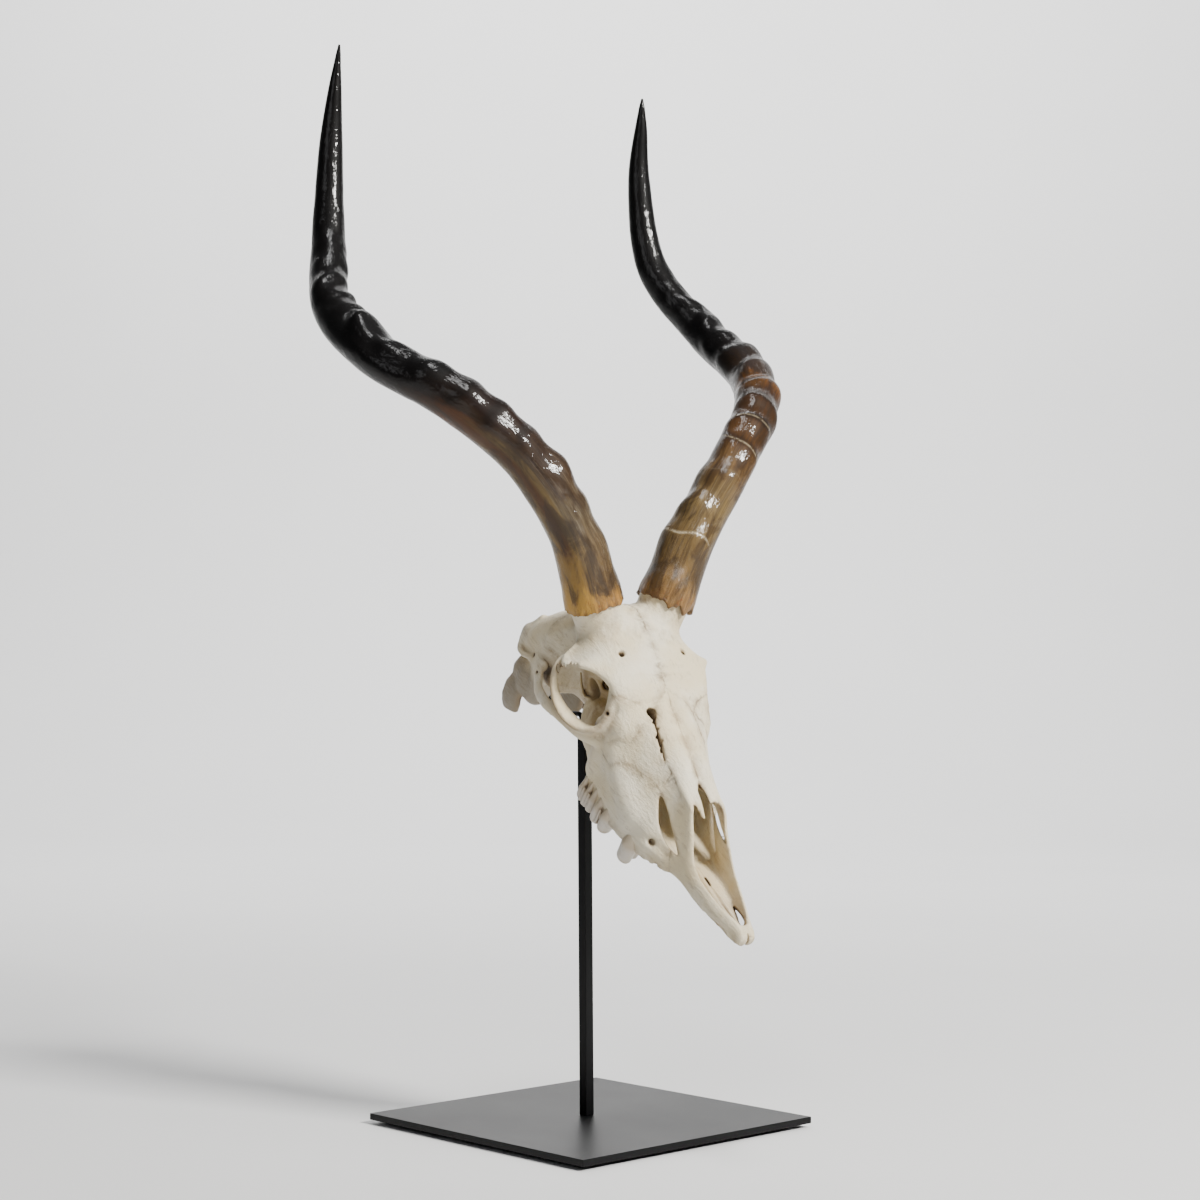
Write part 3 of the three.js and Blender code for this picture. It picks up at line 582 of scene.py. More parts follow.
# Gaps that are cut right through: half width across, then half the depth of the cut.
LEAF = ((164, 17.3, 31.8, 0.4, 13), (169, 18, 29.4, 1.7, 13), (176, 19, 25.6, 2.9, 13),
        (183, 18.6, 21, 3.0, 13), (189, 17.4, 17.4, 2.0, 13), (195, 16, 14.4, 0.4, 13))
LEAF_WAY = (0.45, 0.41, 0.73)
LEFT_LEAF = ((169, 18, 30.8, 0.3, 15), (177, 18, 25.9, 0.8, 15), (184, 18, 21.9, 1.0, 15),
             (190, 18, 19.4, 0.8, 15), (196, 18, 17.2, 0.3, 15))
LEFT_LEAF_WAY = (-0.638, 0.578, -0.511)
LEAF_SIGHT = (0.638, -0.578, 0.511)
FRONT_SLIT = ((226, 9.4, 1, 0.3, 7), (234, 8.6, 1, 0.9, 7), (241, 6.9, 1, 1.35, 7), (245, 5.4, 1, 0.9, 7))
TIP_NOTCH = ((254, 0, 2, 0.3, 8), (262, 0, 2, 1.3, 8))
FLOOR_SLIT = ((205, 0.5, 4, 0.3, 4), (208.5, 0.9, 4, 0.8, 4), (212, 0.6, 4, 0.3, 4))
PALATE_RIDGE = (
    (198, 1.2, 4.5, 1.2, 1.8), (222, 1.9, 3.2, 1.4, 2), (244, 1.5, 2.4, 1.2, 1.4), (253, 1, 2, 1, 1),
)
EYE_OPENING = ((93, 45, 55), (17, 20, 13.2), 0, -18)
NECK_HOLE = ((-8, 0, 35, 8.5, 7.5), (10, 0, 36.5, 8.5, 7.5))
NOSE_BONE_NOTCHES = ((186, 5.5, 39), (191, 5.5, 39))
NOSE_BONE_NOTCH = (4.5, 3.4, 5)    # half sizes
BORE_PLAY = 0.4                    # between the rod and its bore

TOOTH_Y = 25
EMPTY_SOCKETS = ((149.5, 25), (155.5, 24.5), (175.5, 22), (180, 21), (185, 19))


def passage(stations):
    return loft([
        (x, ((0, top), (a, top - 1), (b, (floor + top) / 2), (c, floor + 1), (0, floor)))
        for x, a, b, c, floor, top in stations
    ])


def frontal_shield():
    return loft([(x, (
        (0, middle), (half * 0.45, middle * 0.75 + edge * 0.25 + 1.5), (half * 0.85, edge + 4),
        (half, edge), (half * 0.85, edge - FRONTAL_DEPTH * 0.6),
        (half * 0.45, middle - FRONTAL_DEPTH - 5), (0, middle - FRONTAL_DEPTH - 5),
    )) for x, middle, half, edge in FRONTAL])


def half_skull():
    clay = Clay((-8, 0, -24), (260, 58, 108), STEP)
    clay.add(loft([(x, oval(half, low, high)) for x, half, low, high in BRAINCASE]), 2)
    clay.add(loft([(x, outline) for x, outline in FACE]), 5)
    clay.add(loft([(x, oval(half, low, high, 3)) for x, half, low, high in EYE_WALL]), 3)
    clay.add(limb(BRAIN_FLOOR), 4)
    clay.add(frontal_shield(), 5)
    clay.add(limb(CHEEK, (1, 0, 0)), 6)
    clay.add(limb(CHEEK_BULGE), 8)
    clay.add(limb(JAW_EDGE), 4)
    clay.add(limb(EAR_CAPSULE, (1, 0, 0)), 4)
    clay.add(limb(EAR_WALL, (0, 1, 0.1)), 5)
    clay.add(egg(*EYE_FLOOR), 5)
    clay.carve(limb(BRAIN_WAY), 3)
    clay.carve(limb(THROAT_WAY), 3)
    clay.carve(egg(*EYE_HOLLOWS[2]), 4)
    for hollow in EYE_HOLLOWS[:2]:
        clay.carve(egg(*hollow), 2.5)
    clay.add(limb(PEDICLE, (1, 0, 0)), 6)
    clay.carve(egg(*EYE_OPENING), 1.5)
    clay.add(limb(EYE_BACK), 3)
    clay.carve(egg(*EYE_PIT), 1)
    clay.add(limb(EYE_LEDGE), 1.2)
    clay.add(limb(EYE_RIDGE), 1.2)
    clay.add(limb(ORBIT_RIM, (0.05, 1, 0.05), boxy=3), 1.6)
    clay.add(limb(CHEEK_ARCH, (0, 1, 0.1)), 2)
    clay.carve(egg(*EAR_RECESS), 2)
    for fill in EAR_FILL:
        clay.add(egg(*fill), 3)
    clay.add(egg(*EAR_LOBE), 2)
    clay.add(limb(EAR_CREST, (0, 1, 0)), 1.6)
    clay.add(egg(*EAR_BUMP), 2)
    clay.add(limb(NAPE_RIDGE, (1, 0, 0.3)), 4)
    clay.add(limb(NECK_PROCESS, (0, 1, 0), boxy=3), 1.2)
    clay.add(limb(THROAT_WING, (0, 1, 0)), 3)
    clay.add(egg(*CONDYLE), 2)
    clay.carve(limb(NECK_HOLE), 2)
    clay.carve(passage(NASAL_PASSAGE), 2)
    clay.carve(passage(NARIAL_OPENING), 1.6)
    clay.add(limb(NOSE_BONE), 1.4)
    clay.add(limb(INNER_PRONG), 1.2)
    clay.add(limb(OUTER_PRONG), 1.2)
    clay.add(limb(PALATE_RIDGE), 1.2)
    clay.add(limb(CHEEK_HOLE_RIDGE), 3)
    clay.carve(limb(LEAF, LEAF_WAY), 1)
    clay.carve(limb(FRONT_SLIT, LEFT_LEAF_WAY), 0.8)
    clay.carve(limb(BROW_HOLE, (1, 0, 0)), 0.8)
    clay.carve(limb(BROW_GROOVE), 1.2)
    clay.carve(limb(CHEEK_HOLE), 1.2)
    for hole in (*EAR_HOLES, EYE_HOLE, LACRIMAL_HOLE):
        clay.carve(limb(hole, (0, 0, 1)), 1)
    for x, y in EMPTY_SOCKETS:
        clay.carve(limb(((x, y, -7, 2.6), (x, y, 7, 1.2)), (1, 0, 0)), 0.8)
    clay.soften()
    return clay


def whole_skull():
    clay = half_skull().mirrored()
    clay.carve(limb(CHEEK_SLIT, side=-1), 0.5)
    clay.carve(limb(LEFT_LEAF, LEFT_LEAF_WAY), 0.8)
    clay.carve(limb(FLOOR_SLIT, (0, 0, 1)), 0.5)
    for notch in NOSE_BONE_NOTCHES:
        clay.carve(egg(notch, NOSE_BONE_NOTCH), 0.5)
    rng = np.random.default_rng(5)
    reach = 5 * np.array(LEAF_SIGHT)
    for share in np.linspace(0, 1, BROW_TEETH_COUNT):
        spot = np.array(BROW_TEETH[0]) * (1 - share) + np.array(BROW_TEETH[1]) * share
        spot[0] += rng.uniform(-0.4, 0.4)
        size = rng.uniform(0.65, 0.9)
        deep = rng.uniform(2.0, 3.4)
        clay.carve(limb([(*end, size, deep) for end in (spot - reach, spot + reach)], BROW_UP), 0.3)
    for x, y in SLIT_TEETH:
        clay.carve(limb(((x, -y, 70, 0.8), (x, -y, 40, 0.8)), (1, 0, 0)), 0.3)
    clay.add(limb(LEFT_NECK_PROCESS, (0, 1, 0), boxy=3), 1.2)
    clay.carve(limb(TIP_NOTCH), 0.5)
    clay.carve(rod_bore(), 0.4)
    return clay


def rod_line():
    """The rod's middle line, in frame millimetres."""
    heading = math.radians(SKULL_HEADING)
    back = np.array((-math.cos(heading), -math.sin(heading), 0))
    x, y = (sum(parts) for parts in zip(POST_FOOT, POST_LEAN, ROD_OFFSET))
    low = np.array((x, y, ROD_BEND_Z))
    high = low + back * ROD_BACK
    up = np.array((0, 0, ROD_BEND))
    aside = back * ROD_BEND
    points = [np.array((x, y, POST_TOP))]
    turn = np.linspace(0, 1, 9)[:, None]
    for before, corner, after in ((low - up, low, low + aside), (high - aside, high, high + up)):
        points.extend((1 - turn) ** 2 * before + 2 * turn * (1 - turn) * corner + turn ** 2 * after)
    points.append(np.array((high[0], high[1], ROD_END_Z)))
    return np.array(points)


def rod_bore():
    """The rod's bore, in skull millimetres."""
    to_skull = np.array(TO_FRAME.inverted())
    ends = rod_line()[-2:] * MM
    ends = np.hstack([ends, np.ones((2, 1))]) @ to_skull[:3].T
    return limb([(*end, ROD_RADIUS + BORE_PLAY) for end in ends], (1, 0, 0))


# ---------------------------------------------------------------- meshes

def shade_smooth(mesh):
    mesh.polygons.foreach_set("use_smooth", np.ones(len(mesh.polygons), bool))


def mesh_object(name, points, faces):
    mesh = bpy.data.meshes.new(name)
    faces = np.asarray(faces)
    mesh.vertices.add(len(points))
    mesh.vertices.foreach_set("co", np.asarray(points, np.float32).ravel())
    mesh.loops.add(faces.size)
    mesh.loops.foreach_set("vertex_index", faces.ravel().astype(np.int32))
    mesh.polygons.add(len(faces))
    mesh.polygons.foreach_set("loop_start", np.arange(0, faces.size, faces.shape[1], dtype=np.int32))
    mesh.update(calc_edges=True)
    mesh.validate()
    shade_smooth(mesh)
    obj = bpy.data.objects.new(name, mesh)
    bpy.context.scene.collection.objects.link(obj)
    return obj


def tube(name, rings, ends):
    """A tube through rings of points, closed with a fan to a middle point at each end."""
    rows, count = rings.shape[:2]
    points = np.concatenate([rings.reshape(-1, 3), ends])
    first = np.arange(rows - 1)[:, None] * count
    here = first + np.arange(count)
    beside = first + (np.arange(count) + 1) % count
    quads = np.stack([beside, beside + count, here + count, here], axis=2).reshape(-1, 4)
    obj = mesh_object(name, points, quads)
    edit = bmesh.new()
    edit.from_mesh(obj.data)
    edit.verts.ensure_lookup_table()
    last = (rows - 1) * count
    for j in range(count):
        k = (j + 1) % count
        edit.faces.new([edit.verts[i] for i in (last + j, last + k, len(points) - 1)])
        edit.faces.new([edit.verts[i] for i in (k, j, len(points) - 2)])
    bmesh.ops.recalc_face_normals(edit, faces=edit.faces)
    edit.to_mesh(obj.data)
    edit.free()
    return obj


def reduce_to(obj, triangles):
    """Collapses the mesh to about so many triangles."""
    have = sum(len(p.vertices) - 2 for p in obj.data.polygons)
    if have <= triangles:
        return
    modifier = obj.modifiers.new("reduce", "DECIMATE")
    modifier.ratio = triangles / have
    modifier.use_collapse_triangulate = True
    graph = bpy.context.evaluated_depsgraph_get()
    mesh = bpy.data.meshes.new_from_object(obj.evaluated_get(graph))
    obj.modifiers.clear()
    obj.data = mesh


def coordinates(obj):
    points = np.empty(len(obj.data.vertices) * 3, np.float32)
    obj.data.vertices.foreach_get("co", points)
    return points.reshape(-1, 3).astype(float)


def set_coordinates(obj, points):
    obj.data.vertices.foreach_set("co", points.astype(np.float32).ravel())
    obj.data.update()


def normals(obj):
    values = np.empty(len(obj.data.vertices) * 3, np.float32)
    obj.data.vertices.foreach_get("normal", values)
    return values.reshape(-1, 3).astype(float)


def set_mask(obj, name, values):
    attribute = obj.data.attributes.new(name, "FLOAT", "POINT")
    attribute.data.foreach_set("value", np.asarray(values, np.float32))


def set_grain(obj, points):
    """The places that the material's grain follows."""
    attribute = obj.data.attributes.new("grain", "FLOAT_VECTOR", "POINT")
    attribute.data.foreach_set("vector", points.astype(np.float32).ravel())


def line_distance(points, lines):
    """Distance from each point to the nearest of several broken lines."""
    best = np.full(len(points), 1e3)
    for line in lines:
        line = np.asarray(line, float)
        near = np.all((points > line.min(0) - 6) & (points < line.max(0) + 6), axis=1)
        chosen = points[near]
        if not len(chosen):
            continue
        least = np.full(len(chosen), 1e3)
        for a, b in zip(line[:-1], line[1:]):
            way = b - a
            share = np.clip((chosen - a) @ way / max(way @ way, 1e-9), 0, 1)
            least = np.minimum(least, np.linalg.norm(chosen - a - share[:, None] * way, axis=1))
        best[near] = np.minimum(best[near], least)
    return best


def wiggled(stops, size, reach, seed):
    """A smooth line through the stops that wanders sideways as a suture does."""
    line = curve_points(stops, 16)
    sideways = np.cross(unit_rows(np.gradient(line, axis=0)), (0.0, 0.0, 1.0))
    return line + reach * sideways * noise(line, size, seed)[:, None]


def split_near(obj, lines, reach, times):
    """Cuts the mesh finer along the lines."""
    edit = bmesh.new()
    edit.from_mesh(obj.data)
    for _ in range(times):
        points = np.array([v.co for v in edit.verts])
        close = line_distance(points, lines) < reach
        edit.verts.index_update()
        edges = [e for e in edit.edges if close[e.verts[0].index] and close[e.verts[1].index]]
        bmesh.ops.subdivide_edges(edit, edges=edges, cuts=1, use_grid_fill=False)
        bmesh.ops.triangulate(edit, faces=[f for f in edit.faces if len(f.verts) > 3])
    edit.to_mesh(obj.data)
    edit.free()
    shade_smooth(obj.data)


def place_skull_piece(obj, node_names):
    obj.data.transform(TO_FRAME)
    obj.data.update()
    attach(obj, "root")
    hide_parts(*node_names)


# ---------------------------------------------------------------- skull: surface

# Lines where two bones meet, from listed points; the height is found on the clay.
SUTURES_BOTH = (
    ((114, 0, 71), (119, 6, 70), (123, 11, 68), (127, 14, 64)),              # brow to nose bone
    ((127, 14, 63), (138, 13.8, 57), (150, 13, 50.5), (164, 12, 46), (176, 12, 40)),   # beside the nose
    ((127, 15, 64), (122, 20, 66), (117, 27, 67), (111, 33, 66)),            # brow to tear bone
    ((116, 37, 44), (122, 36, 40), (127, 33, 46), (133, 28, 48), (131, 22, 57), (128, 16, 61)),
    ((122, 36, 36), (131, 33, 33), (141, 29, 38), (150, 24, 38), (157, 20, 37), (164, 17.5, 35)),
    ((164, 17, 36), (158, 15, 42), (150, 13.5, 49)),                         # up beside the nose
    ((191, 19, 14), (193, 18, 8), (195, 15, 2)),
    ((36, 30, 72), (35, 34, 61), (37, 35, 52), (42, 34.3, 49.2), (50, 32, 48.5)),    # side of the braincase
)
SUTURES_MIDDLE = (
    ((52, 0, 90), (70, 0, 93), (90, 0, 85), (106, 0, 77), (114, 0, 72)),
    ((114, 0, 72), (130, 0, 63), (150, 0, 55), (172, 0, 45)),
)


def suture_lines():
    lines = []
    for k, stops in enumerate(SUTURES_BOTH):
        for side in (-1, 1):
            flipped = [(x, side * y, z) for x, y, z in stops]
            lines.append(wiggled(flipped, 3.0, 1.1, 40 + 7 * k + side))
    lines.append(wiggled(SUTURES_MIDDLE[0], 2.6, 0.9, 91))
    lines.append(wiggled(SUTURES_MIDDLE[1], 6, 0.3, 95))
    return lines


def on_surface(clay, line):
    """Moves each point of a line onto the clay's surface, along the field's slope."""
    line = np.array(line)
    for _ in range(6):
        reach = 0.9
        slope = np.stack([
            clay.sample(line + reach * np.eye(3)[k]) - clay.sample(line - reach * np.eye(3)[k])
            for k in range(3)], axis=1) / (2 * reach)
        size = np.maximum((slope ** 2).sum(1), 0.05)
        line = line - (clay.sample(line) / size)[:, None] * slope
    return line


def make_skull(material):
    clay = whole_skull()
    points, faces = clay.skin()
    obj = mesh_object("skull_bone", points, faces)
    reduce_to(obj, 150000)
    lines = [on_surface(clay, line) for line in suture_lines()]
    split_near(obj, lines, 1.6, 2)
    points, out = coordinates(obj), normals(obj)

    # open space in front of each point tells a hollow from a ridge, and sets the painted shade in the
    # hollows
    hollow_shade = np.zeros(len(points))
    for reach, weight in ((2.5, 0.35), (7, 0.35), (14, 0.3)):
        open_space = clay.sample(points + out * reach)
        hollow_shade += weight * np.clip(1 - open_space / reach, 0, 1.2)
    suture = line_distance(points, lines)
    seam = smoothstep(-0.25, 0.45, layered(points, 15, 12)) * 0.75 + 0.25

    x, y, z = points.T
    wide = np.abs(y)
    rise = 0.30 * layered(points, 14, 3) + 0.05 * layered(points, 3.2, 8)
    # long ridges and pores on the horn cores
    near_core = smoothstep(80, 88, z) * smoothstep(40, 20, np.abs(x - 58))
    rise += near_core * 0.42 * layered(points * (1, 1, 0.16) + (0, 0, 1), 2.2, 21)
    # rough bone: behind the head, tooth edge, tear bone
    rough = np.maximum(smoothstep(24, 8, x) * 0.8, smoothstep(3, -2, z) * smoothstep(100, 110, x))
    tear = patch((x, wide, z), (117, 34, 52), (9, 7, 12))
    rise += (rough * 0.5 + tear * 0.42) * layered(points, 2.9, 33)
    rise -= seam * (0.5 * bell(suture, 0.55) - 0.15 * bell(suture, 1.8))
    rise *= smoothstep(0, 1.5, 258 - x)
    set_coordinates(obj, points + out * rise[:, None])

    # warmer bone tone round the eye and the nose; inside the eye socket and beside the braincase the darker
    # tan is partly the bone's own tone and partly painted shade
    warm_tone_and_shade = 0.35 * smoothstep(10, 30, wide) * patch((x, z), (95, 48), (26, 15))
    warm_tone_and_shade += 0.16 * smoothstep(170, 205, x) + 0.2 * smoothstep(20, 4, wide) * smoothstep(120, 150, x)
    socket = patch((x, z), (80, 42), (24, 24), 4)
    warm_tone_and_shade += smoothstep(37, 29, wide) * smoothstep(74, 67, z) * socket
    warm_tone_and_shade += 0.45 * smoothstep(22, 30, wide) * patch((x, z), (42, 50), (16, 20))
    # grey-brown low at the back and on the nape: partly the bone's own tone and partly painted shade on
    # these undersides turned from the light
    grey = smoothstep(45, 37, x) * smoothstep(27, 17, z)
    grey = np.maximum(grey, 0.8 * smoothstep(12, 5, x) * smoothstep(46, 30, z))
    set_mask(obj, "hollow", np.clip(hollow_shade * 1.3 - 0.12, 0, 1))
    set_mask(obj, "suture", seam * bell(suture, 0.6))
    set_mask(obj, "suture_stain", bell(suture, 2.8))
    set_mask(obj, "warm_tone_and_shade", np.clip(warm_tone_and_shade, 0, 1))
    set_mask(obj, "grey", grey)
    set_mask(obj, "rough", np.clip(rough + tear + 0.5 * near_core, 0, 1))
    set_grain(obj, points)
    obj.data.materials.append(material)
    place_skull_piece(obj, ["skull"])


# ---------------------------------------------------------------- teeth

TEETH = (
    ("molar_3", 119, 18, 14.5, 9.5, 3), ("molar_2", 137, 17.4, 15.5, 9.8, 2),
    ("premolar_4", 166, 12, 13, 11.5, 1),
)
ROOT_TOP = 7
TOOTH_STEP = 0.4                   # its clay's grid
# Outer and inner cusps: place across, lean, height of the neck, share of the drop, then half
# length and half width of the neck and of the tip, and how softly they join.
CUSP_ROWS = (
    (0.16, 0.2, -1.5, 1.0, (1.08, 0.33), (0.99, 0.31), 0.6),
    (-0.20, 0.0, -1.0, 0.84, (0.98, 0.32), (0.8, 0.24), 0.9),
)


def tooth_clay(middle, length, width, drop, lobes):
    """A left upper tooth. The first lobe of a tooth with three is a lower one."""
    across = (0, 1, 0)
    low = (middle - length / 2 - 2, TOOTH_Y - width / 2 - 3, -drop - 3)
    high = (middle + length / 2 + 2, TOOTH_Y + width / 2 + 3, ROOT_TOP + 2)
    clay = Clay(low, high, TOOTH_STEP)
    step = length / lobes
    half = step * (0.5 if lobes > 1 else 0.46)
    for p in range(lobes):
        x = middle + (p - (lobes - 1) / 2) * step
        tip = -drop * (0.8 if lobes == 3 and p == 0 else 1.0)
        for place, lean, neck_z, share, neck, crown, blend in CUSP_ROWS:
            y = TOOTH_Y + width * place
            clay.add(limb((
                (x, y, ROOT_TOP, half * 0.55, width * 0.2),
                (x, y, neck_z, half * neck[0], width * neck[1]),
                (x, y + lean, tip * share + 2, half * crown[0], width * crown[1]),
            ), across), blend)
        # rib on the cheek side of each lobe
        y = TOOTH_Y + width * CUSP_ROWS[0][0]
        rib = ((x, y + width * 0.26, 0, 0.7), (x + 0.3, y + width * 0.24, -drop * 0.8, 0.6))
        clay.add(limb(rib, across), 1.4)
        # crescent pit between the cusps
        clay.carve(limb((
            (x - half * 0.45, TOOTH_Y, tip, 0.5), (x, TOOTH_Y - 0.6, tip, 0.9),
            (x + half * 0.45, TOOTH_Y, tip, 0.5),
        ), across), 0.7)
        if p:
            # rib between two lobes
            x -= step / 2
            rib = ((x, TOOTH_Y + width * 0.42, 1, 0.8), (x, TOOTH_Y + width * 0.44, -drop * 0.8, 0.9))
            clay.add(limb(rib, across), 0.8)
    return clay


def make_tooth(measures, side, material, label):
    clay = tooth_clay(*measures)
    drop = measures[3]
    points, faces = clay.skin()
    if side < 0:
        points = points * (1, -1, 1)
        faces = faces[:, ::-1]
    obj = mesh_object(f"tooth_{label}", points, faces)
    reduce_to(obj, 9000)
    points, out = coordinates(obj), normals(obj)
    set_coordinates(obj, points + out * (0.08 * layered(points, 2.0, 61))[:, None])
    set_mask(obj, "root", smoothstep(-3.5, 0.5, points[:, 2] + 0.8 * noise(points, 3, 4)))
    # darker where another surface lies close in front of the point: painted shade in the pits and creases
    # between the cusps
    pit_shade = 1 - smoothstep(0, 2.2, np.abs(clay.sample((points + out * 1.6) * (1, side, 1))))
    set_mask(obj, "pit_shade", pit_shade)
    set_mask(obj, "worn", smoothstep(-drop + 2.2, -drop + 0.4, points[:, 2]))
    obj.data.materials.append(material)
    place_skull_piece(obj, [label])


# ---------------------------------------------------------------- horns

# Middle line of a horn, from its rim to its tip: forward, outward, up, radius.
HORN_LINE = (
    (56, 25, 92, 18.6), (46, 34, 112, 16.3), (35, 45, 131, 15), (9, 75, 163, 14.2),
    (-27, 110, 179, 14), (-76, 138, 178, 13.8), (-135, 141, 175, 12.4), (-191, 124, 192, 10.4),
    (-232, 118, 237, 7.5), (-250, 117, 270, 4), (-260, 116, 290, 0.6),
)
TIP_STRETCH = {-1: 3, 1: -5}
TIP_WAY = np.array((-0.45, 0, 0.89))
# Rings: distance from the rim, then strength and the strength of a pale crack along the
# ring's edge, each for the right horn and the left one.
HORN_RINGS = (
    (10, 0.25, 0.5, 0.0, 0.0), (39, 0.55, 0.95, 0.0, 1.0), (58, 0.85, 0.8, 0.0, 0.0),
    (83, 1.0, 0.9, 0.0, 0.1), (106, 0.9, 0.9, 0.0, 0.5), (126, 1.0, 1.0, 0.0, 0.4),
    (147, 1.05, 1.2, 0.0, 0.1), (170, 1.0, 1.25, 0.0, 0.0), (199, 0.7, 1.25, 0.0, 0.0),
    (228, 1.6, 1.1, 0.0, 0.0), (250, 1.15, 1.0, 0.0, 0.0), (270, 1.05, 0.9, 0.0, 0.0),
    (288, 0.9, 0.65, 0.0, 0.0), (306, 0.6, 0.4, 0.0, 0.0), (321, 0.35, 0.2, 0.0, 0.0),
)
RING_SIDE_LOW = np.array((0.25, -0.68, 0.65))      # where the rings stand out, near the rim
RING_SIDE_HIGH = np.array((0.62, -0.25, 0.6))      # and on the upper half
HORN_STEPS = 620
HORN_SIDES = 112
TIP_REACH = 6                      # how far from its end the tip rounds off
TIP_ROUND = {-1: 1.1, 1: 3.4}
TIP_SLOPE = 0.13
RING_HEIGHT = 3.5
RIM_LIP = 2.2
RIM_LIP_RINGS = ((1.15, 5.0), (1.0, 0.4), (0.5, -0.5))     # share of the lip, how deep
# The smooth hollow on the right horn: distance, place round the horn, half length, half width
# round the horn, depth.
HORN_DISH = (208, -0.8, 22, 0.7, 1.7)
# Chips and tatters of the rims: place round the horn, width, and how far up the edge moves.
RIM_CHIPS = {
    -1: ((0.4, 0.16, 1.6), (1.3, 0.1, -1.2), (2.2, 0.14, 1.5), (3.4, 0.12, 1.2), (5.2, 0.18, 1.8)),
    1: ((0.6, 0.12, -2.4), (0.95, 0.08, 2.2), (1.25, 0.1, -2.8), (1.6, 0.1, 1.8), (3.0, 0.15, 1.5),
        (4.4, 0.12, -1.5), (5.3, 0.16, 1.8)),
}


def horn_rings(distance, angle, side, rng):
    """How far each ring stands out at each point, how near the point is to a crest, and the
    cracks. A ring rises slowly from the rim's side and falls off sharply towards the tip."""
    swell = np.zeros_like(distance)
    crest = np.zeros_like(distance)
    crack = np.zeros_like(distance)
    left = side > 0
    for k, ring in enumerate(HORN_RINGS):
        place, strength, split = ring[0], ring[1 + left], ring[3 + left]
        before = HORN_RINGS[k - 1][0] if k else -12
        slow = 0.85 * (place - before)
        sharp = rng.uniform(6.5, 8.5) if place > 215 else rng.uniform(7.5, 11.0)
        middle, phase, wave = rng.uniform(-0.35, 0.35), rng.uniform(0, 6.28), rng.uniform(0, 6.28)
        knob = rng.uniform(-0.8, 0.8)
        slant = 3.4 * np.cos(angle - middle) + rng.uniform(-4, 4) * np.sin(angle)
        slant += 2.0 * np.sin(2 * angle + phase) + 0.8 * np.sin(4 * angle + wave)
        off = distance - place - slant
        near = np.clip(np.where(off < 0, -off / slow, off / sharp), 0, 1)
        bump = np.cos(near * math.pi / 2) ** np.where(off < 0, 1.7, 1.5)
        knobby = bell(turned_from(angle, knob), 0.55)
        uneven = 0.75 + 0.2 * np.sin(2 * angle + wave) + 0.4 * knobby
        reach = smoothstep(-0.35, 0.8, np.cos(angle - middle))
        swell = np.maximum(swell, bump * strength * uneven * reach)
        crest = np.maximum(crest, bell(off - 1.0, 4.5) * min(strength, 1) * reach)
        crack = np.maximum(crack, bell(off - 0.4, 0.6) * split * reach)
    return swell, crest, crack


def horn_course(side):
    """Distances along a horn, and at each the middle, the radius and the ways along, ahead
    and across. The tip rounds off over its last few millimetres."""
    stops = np.array(HORN_LINE, float)
    stops[:, 1] *= side
    stops[-1, :3] += TIP_WAY * TIP_STRETCH[side]
    path = curve_points(stops[:, :3], 40)
    stop_place = np.linspace(0, len(stops) - 1, len(path))
    radii = np.interp(stop_place, np.arange(len(stops)), stops[:, 3])
    run = np.concatenate([[0], np.cumsum(np.linalg.norm(np.diff(path, axis=0), axis=1))])
    length = run[-1]
    # even steps, closer together where the tip rounds off
    even = np.linspace(0, length - TIP_REACH, HORN_STEPS)
    closer = length - TIP_REACH * (1 - np.linspace(0, 1, 30)[1:]) ** 2
    distance = np.concatenate([even, closer])
    centre = np.stack([np.interp(distance, run, path[:, k]) for k in range(3)], axis=1)
    radius = averaged(np.interp(distance, run, radii), 25)
    left = np.maximum(length - distance, 0)
    blunt = np.sqrt(np.maximum(2 * TIP_ROUND[side] * left, 1e-4)) + left * TIP_SLOPE
    radius = np.minimum(radius, blunt)
    along = unit_rows(np.gradient(centre, axis=0))
    share = smoothstep(60, 260, distance)[:, None]
    front = (RING_SIDE_LOW * (1 - share) + RING_SIDE_HIGH * share) * (1, side, 1)
    ahead = unit_rows(front - (along * front).sum(1)[:, None] * along)
    return distance, centre, radius, along, ahead, np.cross(along, ahead)


def horn_height(side, far, turn, round_place, swell, crack):
    """How far the surface stands out from the plain horn."""
    def grown(stretch, size, seed, layers=3):
        places = round_place * (1, 1, stretch)
        return layered(places, size, seed + side, layers).reshape(turn.shape)

    length = far.max()
    tip_calm = smoothstep(length - 60, length - 120, far)
    facing = smoothstep(-0.35, 0.8, np.cos(turn))
    swell = np.apply_along_axis(averaged, 0, swell, 15)
    height = RING_HEIGHT * swell - 1.2 * facing * smoothstep(345, 300, far) - 0.3 * crack
    if side < 0:
        # a long smooth hollow where the horn levels out
        place, angle, half_length, half_width, depth = HORN_DISH
        aside = turned_from(turn, angle)
        height -= depth * patch((far, aside), (place, 0), (half_length, half_width), 4)
    fibrous = facing * smoothstep(190, 90, far)
    fibre, lumps = grown(0.07, 2.0, 70), grown(0.6, 16, 80)
    height += (0.03 + 0.08 * fibrous) * fibre * tip_calm + 0.7 * lumps * tip_calm
    # wrinkled and ragged rim
    rim = smoothstep(11, 0, far)
    ragged = grown(0.5, 3.2, 55, 4)
    return height + (0.25 * smoothstep(45, 10, far) + 0.9 * rim) * ragged - 0.2 * rim


def rim_edge(side, angle):
    """How far the rim's edge wanders up and down."""
    circle = np.stack([np.cos(angle) * 18, np.sin(angle) * 18, 0 * angle], axis=1)
    edge = 1.7 * layered(circle, 7, 90 + side) + layered(circle, 2, 93 + side)
    for place, width, deep in RIM_CHIPS[side]:
        edge += deep * bell(turned_from(angle, place), width)
    return edge


